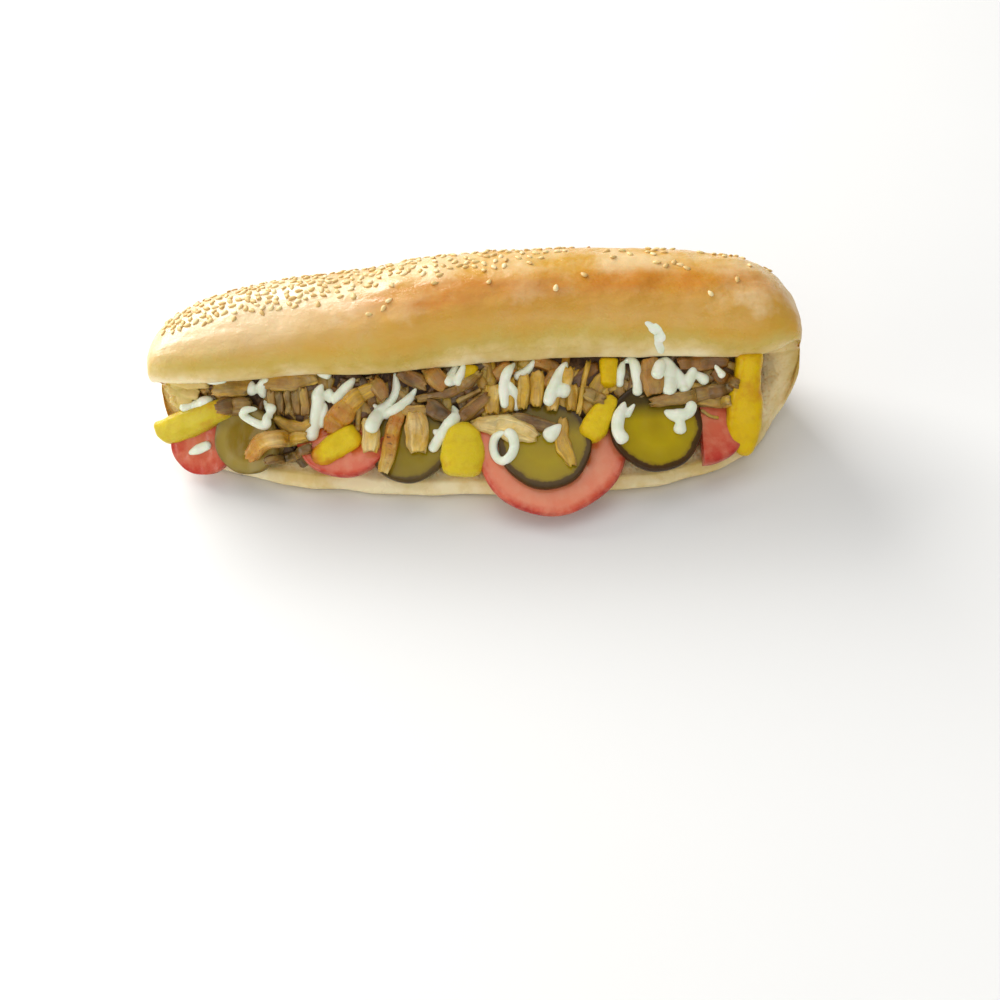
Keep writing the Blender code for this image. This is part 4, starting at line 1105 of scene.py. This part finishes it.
def meat(heap, points, wides, half_thick, tone, roast, chance, sides=20, fray=1.2, out=OUT, **more):
    """One piece of meat: a flat ragged slab with fibre ridges, a twist and roasted places."""
    count = len(points)
    key = chance.uniform(0, 90)
    lengths = lengths_along(points)
    share = lengths / lengths[-1]
    wide = spread_along(wides, share)
    near = np.minimum(lengths, lengths[-1] - lengths)
    end = 0.8 + 0.2 * np.clip(near / (0.6 * wide), 0, 1)
    angle = 2 * np.pi * np.arange(sides) / sides
    cosine, sine = np.cos(angle), np.sin(angle)
    flat_u, flat_v = squared(cosine, 0.6), squared(sine, 0.7)
    rows, burnt = np.zeros((count, sides, 3)), np.zeros((count, sides))
    roasted = spread_along(roast, share)
    for i, p in enumerate(points):
        run, side, up = axes_along(points, i, out)
        at = lengths[i]
        left = wide[i] * end[i] * (1 + 0.3 * wander(at / 5, key))
        right = wide[i] * end[i] * (1 + 0.3 * wander(at / 5, key + 20))
        thick = half_thick * end[i] * (1 + 0.25 * wander(at / 5, key + 40))
        roll = 0.5 * wander(at / 9, key + 60)
        u = np.where(cosine > 0, right, left) * flat_u
        v = thick * flat_v
        ridge = np.array([wander(1.9 * k, key + at / 11) for k in range(sides)])
        u, v = u * (1 + 0.05 * ridge), v * (1 + 0.1 * ridge)
        ends = max(0.0, 1 - near[i] / (2.2 * fray + 0.4))
        torn = np.array([wander(0.7 * k, key + (7 if i * 2 < count else 9)) for k in range(sides)])
        outward = -run if i * 2 < count else run
        across = side * math.cos(roll) + up * math.sin(roll)
        above = up * math.cos(roll) - side * math.sin(roll)
        rows[i] = p + np.outer(u, across) + np.outer(v, above) + np.outer(torn * 1.7 * fray * ends, outward)
        middle = rows[i].mean(0)
        for k in range(sides):
            q = (0.28 * at, u[k], v[k])
            push = rough(q, 2.0, 3, key) * 0.4 + rough(rows[i, k], 1.2, 2, key + 5) * 0.05
            rows[i, k] += unit(rows[i, k] - middle) * push
            burnt[i, k] = roasted[i] + 0.3 * rough(q, 2.6, 2, key + 3) + 0.1 * max(0.0, sine[k])
    size = 2 * (wide.mean() + half_thick)
    grain = np.stack(
        (
            np.repeat(lengths, sides) + key * 7,
            np.tile(np.abs(angle / (2 * np.pi) - 0.5) * size, count) + key,
            np.tile(sine, count) * half_thick + key * 3,
        ),
        axis=1,
    )
    rim = np.tile(np.abs(cosine) ** 4, count)
    grain = np.vstack((grain, grain[:sides].mean(0), grain[-sides:].mean(0)))
    burnt = np.clip(np.concatenate((burnt.ravel(), (burnt[0].mean(), burnt[-1].mean()))), 0, 1)
    add_tube(heap, rows, grain=grain, rim=np.concatenate((rim, (0.6, 0.6))), tone=tone, roast=burnt, **more)


def core_section(x):
    """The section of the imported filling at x, as (y, z): along the mouth's walls and over a rough face."""
    lid, lip = edges_of_mouth(x)
    wall = crumb_points(x, 6)
    inward = wall.mean(0) - wall
    wall = wall + inward / np.linalg.norm(inward, axis=1, keepdims=True) * CORE_GAP
    half = len(wall) // 2
    bottom = [p for p in wall[:half] if p[0] > lip[0] + 8]
    top = [p for p in wall[half:] if p[0] > lid[0] + 2.0]
    low, high = bottom[0], top[-1]
    face = []
    for j in range(1, 34):
        t = j / 34
        place = high * (1 - t) + low * t
        bump = 3.4 * math.sin(math.pi * t) + swell((x, *place), CORE_LUMPS)
        face.append(place + OUT[1:] * bump * min(1.0, 6 * t, 6 * (1 - t)))
    flat = np.vstack((resampled(bottom, 2.2)[:20], resampled(top, 2.2)[:20], face))
    from_end = min(1.0, min(x - CORE_ENDS[0], CORE_ENDS[1] - x) / 8)
    return flat.mean(0) + (flat - flat.mean(0)) * (0.3 + 0.7 * math.sqrt(1 - (1 - from_end) ** 2))


def make_core():
    """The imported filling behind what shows, with rounded ends."""
    span = CORE_ENDS[1] - CORE_ENDS[0]
    stations = [CORE_ENDS[0] + span * k / (CORE_STATIONS - 1) for k in range(CORE_STATIONS)]
    sections = [core_section(x) for x in stations]
    count = max(90, min(len(flat) for flat in sections))
    rings = []
    for x, flat in zip(stations, sections):
        fine = resampled(np.vstack((flat, flat[:1])), 0.4)
        at = np.linspace(0, len(fine) - 1, count + 1)[:-1]
        y, z = (np.interp(at, np.arange(len(fine)), fine[:, j]) for j in range(2))
        rings.append(np.column_stack((np.full(count, x), y, z)))
    heap = Heap()
    add_tube(heap, notched(np.vstack(rings)).reshape(CORE_STATIONS, count, 3))
    return heap


def slice_points(centre, axes, radius, thick, relief, wedge=None):
    """A slice with a soft rim: its points, faces, and each point's share of the radius and angle.

    relief(u, v) lifts its faces. With a wedge, only the part between its two angles in degrees is made."""
    right, down, out = axes
    points, share, angles = [], [], []
    profile = [(r / SLICE_RINGS, 0.5) for r in range(1, SLICE_RINGS)]
    rim = np.linspace(0.2, math.pi - 0.2, 7)
    profile += [(1 - 0.045 * (1 - math.sin(a)), 0.5 * math.cos(a)) for a in rim]
    profile += [(r / SLICE_RINGS, -0.5) for r in range(SLICE_RINGS - 1, 0, -3)]
    for reach, level in profile:
        for k in range(SLICE_AROUND):
            a = 2 * math.pi * k / SLICE_AROUND
            if wedge:
                a0, a1 = math.radians(wedge[0]), math.radians(wedge[1])
                a = a0 + (a1 - a0) * k / (SLICE_AROUND - 1)
            u, v = math.cos(a) * reach, math.sin(a) * reach
            wave = 1 + 0.012 * math.sin(3 * a + radius) + 0.008 * math.sin(7 * a + 2 * radius)
            lift = relief(u, v) if level > 0.3 else -0.3 * relief(-u, v) if level < -0.3 else 0.0
            points.append(centre + (right * u + down * v) * radius * wave + out * (level * thick + lift))
            share.append(reach)
            angles.append(a)
    points += [centre + out * (0.5 * thick + relief(0, 0)), centre - out * 0.5 * thick]
    share += [0, 0]
    angles += [0, 0]
    tips = len(profile) * SLICE_AROUND
    faces = grid_faces(len(profile), SLICE_AROUND) + capped(len(profile), SLICE_AROUND, tips, tips + 1)
    return np.array(points), faces, np.array(share), np.array(angles)


def make_pickle(values):
    """A gherkin slice, faintly dished, with painted shade on top where it leans in under the lid and, as
    given, all over.
    """
    x, down, lift, radius, top_in, right_in, pale, shade, dull = values
    axes = tilted(mouth_axes(x, down), top_in, right_in)
    key = radius * 3.7

    def relief(u, v):
        reach = math.hypot(u, v)
        seedy = max(0.0, 1 - reach / 0.55)
        lumps = 0.14 * rough((u * 9, v * 9, key), 3.0, 1)
        lumps += 0.04 * seedy * rough((u * 24, v * 24, key), 3.0, 2)
        return lumps - 0.3 * (1 - reach * reach)

    centre = in_mouth(x, down, lift)
    points, faces, share, _ = slice_points(centre, axes, radius, PICKLE_THICK, relief)
    level = (points - centre) @ axes[1] / radius
    # painted shade: darker towards the slice's top, and evenly darker by the share given for the whole slice
    dark = np.maximum(np.clip((-0.12 - level) * 2.6, 0, 1) * shade, dull)
    return Heap().add(points, faces, radius=share, tone=pale, shade=dark)


def make_tomato(values):
    """A tomato slice with five sunk seed pockets when its radius is 13 mm or more, or a wedge of one without.
    """
    x, down, lift, radius, top_in, right_in, wedge, tone = values
    axes = tilted(mouth_axes(x, down), top_in, right_in)
    key = radius * 1.9

    def pocket(reach, turn):
        """How deep a place lies in one of the slice's seed pockets, 0 to 1."""
        if wedge or radius < 13 or abs(math.sin(2.5 * turn + key)) ** 0.5 <= 0.55:
            return 0.0
        return clamped((0.66 - reach) / 0.08) * clamped((reach - 0.16) / 0.1)

    def relief(u, v):
        sunk = pocket(math.hypot(u, v), math.atan2(v, u))
        return 0.2 * rough((u * 10, v * 10, key), 3.0, 2) - 0.35 * sunk

    centre = in_mouth(x, down, lift)
    points, faces, share, angles = slice_points(centre, axes, radius, TOMATO_THICK, relief, wedge)
    gel = [pocket(r, a) for r, a in zip(share, angles)]
    return Heap().add(points, faces, radius=share, tone=tone, gel=gel)


def make_chip(values, number):
    """A plump chip between two places of the mouth, with soft corners and a faintly wrinkled skin."""
    start, end, half_thick, outline, tone, fried = values
    a, b = in_mouth(*start), in_mouth(*end)
    key = random.Random(100 + number).uniform(0, 50)
    length = np.linalg.norm(b - a)
    _, side, up = axes_along((a, b), 0)
    shares, lefts, rights = np.array(outline).T
    ends = np.linspace(0, 1, 9)[1:] ** 1.6 * 0.10
    stations = np.concatenate(([0.0], ends, np.linspace(0.13, 0.87, 34), 1 - ends[::-1], [1.0]))
    angle = 2 * np.pi * np.arange(CHIP_SIDES) / CHIP_SIDES
    flat_u, flat_v = squared(np.cos(angle), 0.66), squared(np.sin(angle), 0.66)
    rows = []
    for t in stations:
        near = min(t, 1 - t) * length / (0.5 * half_thick)
        soft = math.sqrt(max(0.0, 1 - (1 - min(1.0, near)) ** 2))
        left, right = np.interp(t, shares, lefts), np.interp(t, shares, rights)
        centre = a + (b - a) * t + side * (right - left) / 2 - up * 0.03 * length * (2 * t - 1) ** 2
        wide = (left + right) / 2 * (0.75 + 0.25 * soft) * (0.55 if near == 0 else 1)
        thick = half_thick * (0.12 + 0.88 * soft)
        rows.append(centre + np.outer(wide * flat_u, side) + np.outer(thick * flat_v, up))
    rows = np.array(rows)
    rows[1:-1] = 0.25 * rows[:-2] + 0.5 * rows[1:-1] + 0.25 * rows[2:]
    for row in rows:
        middle = row.mean(0)
        for k in range(CHIP_SIDES):
            push = rough(row[k], 9, 2, key) * 0.6 + rough(row[k], 3.0, 3, key) * 0.16
            row[k] += unit(row[k] - middle) * push
    along_it = np.repeat(stations, CHIP_SIDES)
    burnt = fried[0] + (fried[1] - fried[0]) * np.clip(along_it * 1.8, 0, 1)
    burnt = burnt + 0.14 * np.tile(np.sin(2 * angle) ** 2, len(stations))
    heap = Heap()
    add_tube(heap, rows, fried=np.concatenate((burnt, (fried[0] + 0.1, fried[1] + 0.1))), tone=tone)
    return heap


def add_end_strips(heap, tree, chance):
    """Strips over the two ends of the core, which show in the corners of the mouth."""
    for number in range(END_STRIPS):
        facing = np.array((1.0 if number % 2 else -1.0, 0.0, 0.0))
        middle = np.array((0.0, chance.uniform(-24, 14), chance.uniform(10, 33)))
        turn, length = chance.uniform(0, math.pi), chance.uniform(7, 12)
        way = np.array((0.0, math.cos(turn), math.sin(turn))) * length
        thick = chance.uniform(1.0, 1.7)
        starts = [middle + way * t + facing * 130 for t in np.linspace(-0.5, 0.5, 14)]
        hits = [tree.ray_cast(Vector(start), Vector(-facing), 60)[0] for start in starts]
        if None in hits:
            continue
        points = np.array(hits)
        points[:, 0] = eased(points[:, 0], 8) + facing[0] * 0.6 * thick
        tone, wide = chance.choice((0.16, 0.24, 0.3, 0.38, 0.46)), chance.uniform(1.6, 3.0)
        meat(heap, points, (0.8 * wide, wide, 0.8 * wide), thick, tone, (0.2, 0.1), chance, 16, out=facing)


def make_fillers(tree):
    """Seeded random strips and thin shreds over the core."""
    chance = random.Random(77)
    heap = Heap()
    add_end_strips(heap, tree, random.Random(81))
    for number in range(FILLERS + SHREDS):
        thin = number >= FILLERS
        x = chance.uniform(-93, 95)
        down = chance.uniform(-2, 27) if chance.random() < 0.85 else chance.uniform(20, 33)
        turn = chance.gauss(0.3, 0.6) + (math.pi / 2 if chance.random() < 0.3 else 0)
        length = chance.uniform(5, 12) if thin else chance.uniform(6, 15)
        dx, dd = 0.5 * length * math.sin(turn), 0.5 * length * math.cos(turn)
        bend = chance.uniform(-1.6, 1.6)
        path = ((x + dx, down - dd), (x + bend, down), (x - dx, down + dd))
        wide = chance.uniform(0.4, 0.8) if thin else chance.uniform(1.2, 3.0)
        thick = 0.8 * wide if thin else chance.uniform(0.8, 1.6)
        golden = GOLDEN_X[0] < x < GOLDEN_X[1] and chance.random() < 0.8
        tone = 0.72 if golden else chance.choice((0.08, 0.16, 0.24, 0.3, 0.38, 0.46, 0.55))
        tone += chance.uniform(-0.05, 0.05)
        points = draped(tree, path, thick, 0.8, 0.9 if not thin else 0.2, 5)
        roast = (chance.uniform(-0.2, 0.35), chance.uniform(-0.2, 0.25))
        meat(heap, points, (0.8 * wide, wide, 0.8 * wide), thick, tone, roast, chance, 9 if thin else 16)
    return heap


def make_slices(tree):
    """The pieces of chicken that show on top."""
    chance = random.Random(78)
    heap = Heap()
    for path, wides, thick, tone, roast in CHICKEN:
        tone += chance.uniform(-0.03, 0.03)
        fray = 1.0 if max(wides) > 1 else 0.4
        meat(heap, draped(tree, path, thick, 0.5, 0.3), wides, thick, tone, roast, chance, 30, fray)
    return heap


def make_web(tree):
    """Torn bread that still bridges the two halves at the left end of the mouth."""
    chance = random.Random(79)
    heap = Heap()
    for path, wides, thick in WEB:
        points = draped(tree, path, thick, 0.5, 0.3)
        meat(heap, points, wides, thick, 0.5, (0, 0), chance, 30, 0.6, bake=WEB_BAKE)
    return heap


def sauce_strand(heap, tree, path, radii, key, flat, lift):
    """One strand with soft ends, laid over the tree's surface."""
    line, under = surface_under(tree, path, 0.5, -3.0)
    radius = spread_along(radii, np.linspace(0, 1, len(line))) * SAUCE_SWELL
    lifts = eased(np.maximum(eased(under, 16), eased(under, 2) - 0.5), 6) + radius * lift
    points = np.array([in_mouth(x, d, high) for (x, d), high in zip(line, lifts)])
    lengths = lengths_along(points)
    near = np.minimum(lengths, lengths[-1] - lengths) / radius
    end = np.sqrt(np.maximum(0.0, 1 - (1 - np.minimum(1.0, near + 0.06)) ** 2))
    angle = 2 * np.pi * np.arange(SAUCE_SIDES) / SAUCE_SIDES
    rows = []
    for i, p in enumerate(points):
        _, side, up = axes_along(points, i)
        r = radius[i] * end[i] * (1 + 0.14 * wander(lengths[i] / 4, key)) * min(1.0, 0.5 + lengths[i] / 9)
        rows.append(p + np.outer(r * np.cos(angle), side) + np.outer(flat * r * np.sin(angle), up))
    add_tube(heap, np.array(rows))


def make_mayonnaise(tree, lid_tree):
    """Strands laid over the filling, to be melted into one skin, and the wipe on the lid."""
    heap = Heap()
    for number, (path, radii) in enumerate(DRIZZLE):
        sauce_strand(heap, tree, path, radii, 3.1 * number, 0.86, 0.4)
    for path, radii in LID_SMEARS:
        sauce_strand(heap, lid_tree, path, radii, 1.7, 0.22, 0.0)
    return heap


def melt(ob, voxel, smoothing):
    """Joins overlapping strands into one skin and rounds it."""
    remesh = ob.modifiers.new("melt", "REMESH")
    remesh.mode = "VOXEL"
    remesh.voxel_size = voxel * MM
    remesh.use_smooth_shade = True
    soften = ob.modifiers.new("soften", "SMOOTH")
    soften.factor = 0.5
    soften.iterations = smoothing
    bpy.context.view_layer.update()
    done = bpy.data.meshes.new_from_object(ob.evaluated_get(bpy.context.evaluated_depsgraph_get()))
    strands = ob.data
    ob.modifiers.clear()
    ob.data = done
    bpy.data.meshes.remove(strands)


# ---------------------------------------------------------------- put together
bread = roll_material()
roll = make_roll()
roll_tree = tree_of(roll)
make_object("roll", roll, bread, "bread_roll")
make_object("sesame_seeds", make_seeds(roll_tree), seed_material(), "bread_roll")

core = make_core()
make_object("filling_core", core, core_material(), "chicken_filling")

firm = []
pickle_look = pickle_material()
for k, values in enumerate(PICKLES, 1):
    firm.append(make_pickle(values))
    make_object(f"pickle_slice_{k}", firm[-1], pickle_look, f"pickle_{k}")
tomato_look = tomato_material()
for k, values in enumerate(TOMATOES, 1):
    firm.append(make_tomato(values))
    make_object(f"tomato_slice_{k}", firm[-1], tomato_look, f"tomato_{k}")
chip_look = chip_material()
for k, values in enumerate(CHIPS, 1):
    firm.append(make_chip(values, k))
    make_object(f"fried_chip_{k}", firm[-1], chip_look, f"chip_{k}")

chicken_look = chicken_material()
strips = make_fillers(tree_of(core))
make_object("chicken_strips", strips, chicken_look, "chicken_filling")
bed = tree_of(core, strips, *firm)
slices = make_slices(bed)
make_object("chicken_slices", slices, chicken_look, "chicken_filling")
web = make_web(bed)
make_object("torn_bread", web, bread, "bread_roll")
sauce = make_mayonnaise(tree_of(core, strips, slices, web, *firm), roll_tree)
mayonnaise = make_object("mayonnaise", sauce, mayonnaise_material(), "chicken_filling")
melt(mayonnaise, SAUCE_VOXEL, SAUCE_SMOOTHING)

# ---------------------------------------------------------------- floor, light and camera
FLOOR_HALF = 3
WORLD_LIGHT = 0.36
CAMERA_AT = (19.76, -375.26, 347.52)  # in millimetres, in the same keys as the roll
LENS, SENSOR = 48.6, 36
PITCH, ROLL, YAW = math.radians(46), math.radians(4), math.radians(-2)

floor_mesh = bpy.data.meshes.new("floor")
corners = [(x * FLOOR_HALF, y * FLOOR_HALF, 0) for x, y in ((-1, -1), (1, -1), (1, 1), (-1, 1))]
floor_mesh.from_pydata(corners, [], [(0, 1, 2, 3)])
floor_mesh.materials.append(floor_material())
floor = bpy.data.objects.new("floor", floor_mesh)
bpy.context.scene.collection.objects.link(floor)


def lamp(name, place, target, size, power, colour=(1, 1, 1)):
    """A rectangular lamp that faces the target; places in metres, power in watts."""
    data = bpy.data.lights.new(name, "AREA")
    data.shape = "RECTANGLE"
    data.size, data.size_y = size
    data.energy = power
    data.color = colour
    ob = bpy.data.objects.new(name, data)
    ob.location = place
    ob.rotation_euler = (Vector(target) - Vector(place)).to_track_quat("-Z", "Y").to_euler()
    bpy.context.scene.collection.objects.link(ob)


lamp("window", (-1.0, 1.2, 0.86), (-0.04, 0.0, 0.05), (1.5, 0.8), 39.5, (1.0, 0.99, 0.97))
lamp("left_fill", (-1.25, -0.45, 0.42), (-0.02, 0.0, 0.03), (0.9, 0.6), 4, (1.0, 0.99, 0.97))
lamp("front_fill", (0.1, -1.15, 0.75), (0.0, 0.0, 0.02), (1.4, 1.0), 4.6, (1.0, 0.98, 0.95))
lamp("top", (-0.1, 0.1, 1.4), (0.0, 0.0, 0.02), (1.2, 1.2), 4.4)

world = bpy.data.worlds.new("studio")
world.use_nodes = True
world.node_tree.nodes["Background"].inputs["Color"].default_value = (1, 1, 1, 1)
world.node_tree.nodes["Background"].inputs["Strength"].default_value = WORLD_LIGHT
bpy.context.scene.world = world
bpy.context.scene.view_settings.view_transform = "Standard"

ahead = Vector((math.sin(YAW) * math.cos(PITCH), math.cos(YAW) * math.cos(PITCH), -math.sin(PITCH)))
level_right = Vector((math.cos(YAW), -math.sin(YAW), 0))
level_up = level_right.cross(ahead)
cam_up = level_up * math.cos(ROLL) + level_right * math.sin(ROLL)
cam_right = level_right * math.cos(ROLL) - level_up * math.sin(ROLL)
camera_data = bpy.data.cameras.new("camera")
camera_data.sensor_fit = "HORIZONTAL"
camera_data.sensor_width = SENSOR
camera_data.lens = LENS
camera = bpy.data.objects.new("camera", camera_data)
facing = Matrix((cam_right, cam_up, -ahead)).transposed().to_4x4()
camera.matrix_world = Matrix.Translation((Vector(CAMERA_AT) - Vector(MIDDLE)) * MM) @ facing
bpy.context.scene.collection.objects.link(camera)
bpy.context.scene.camera = camera
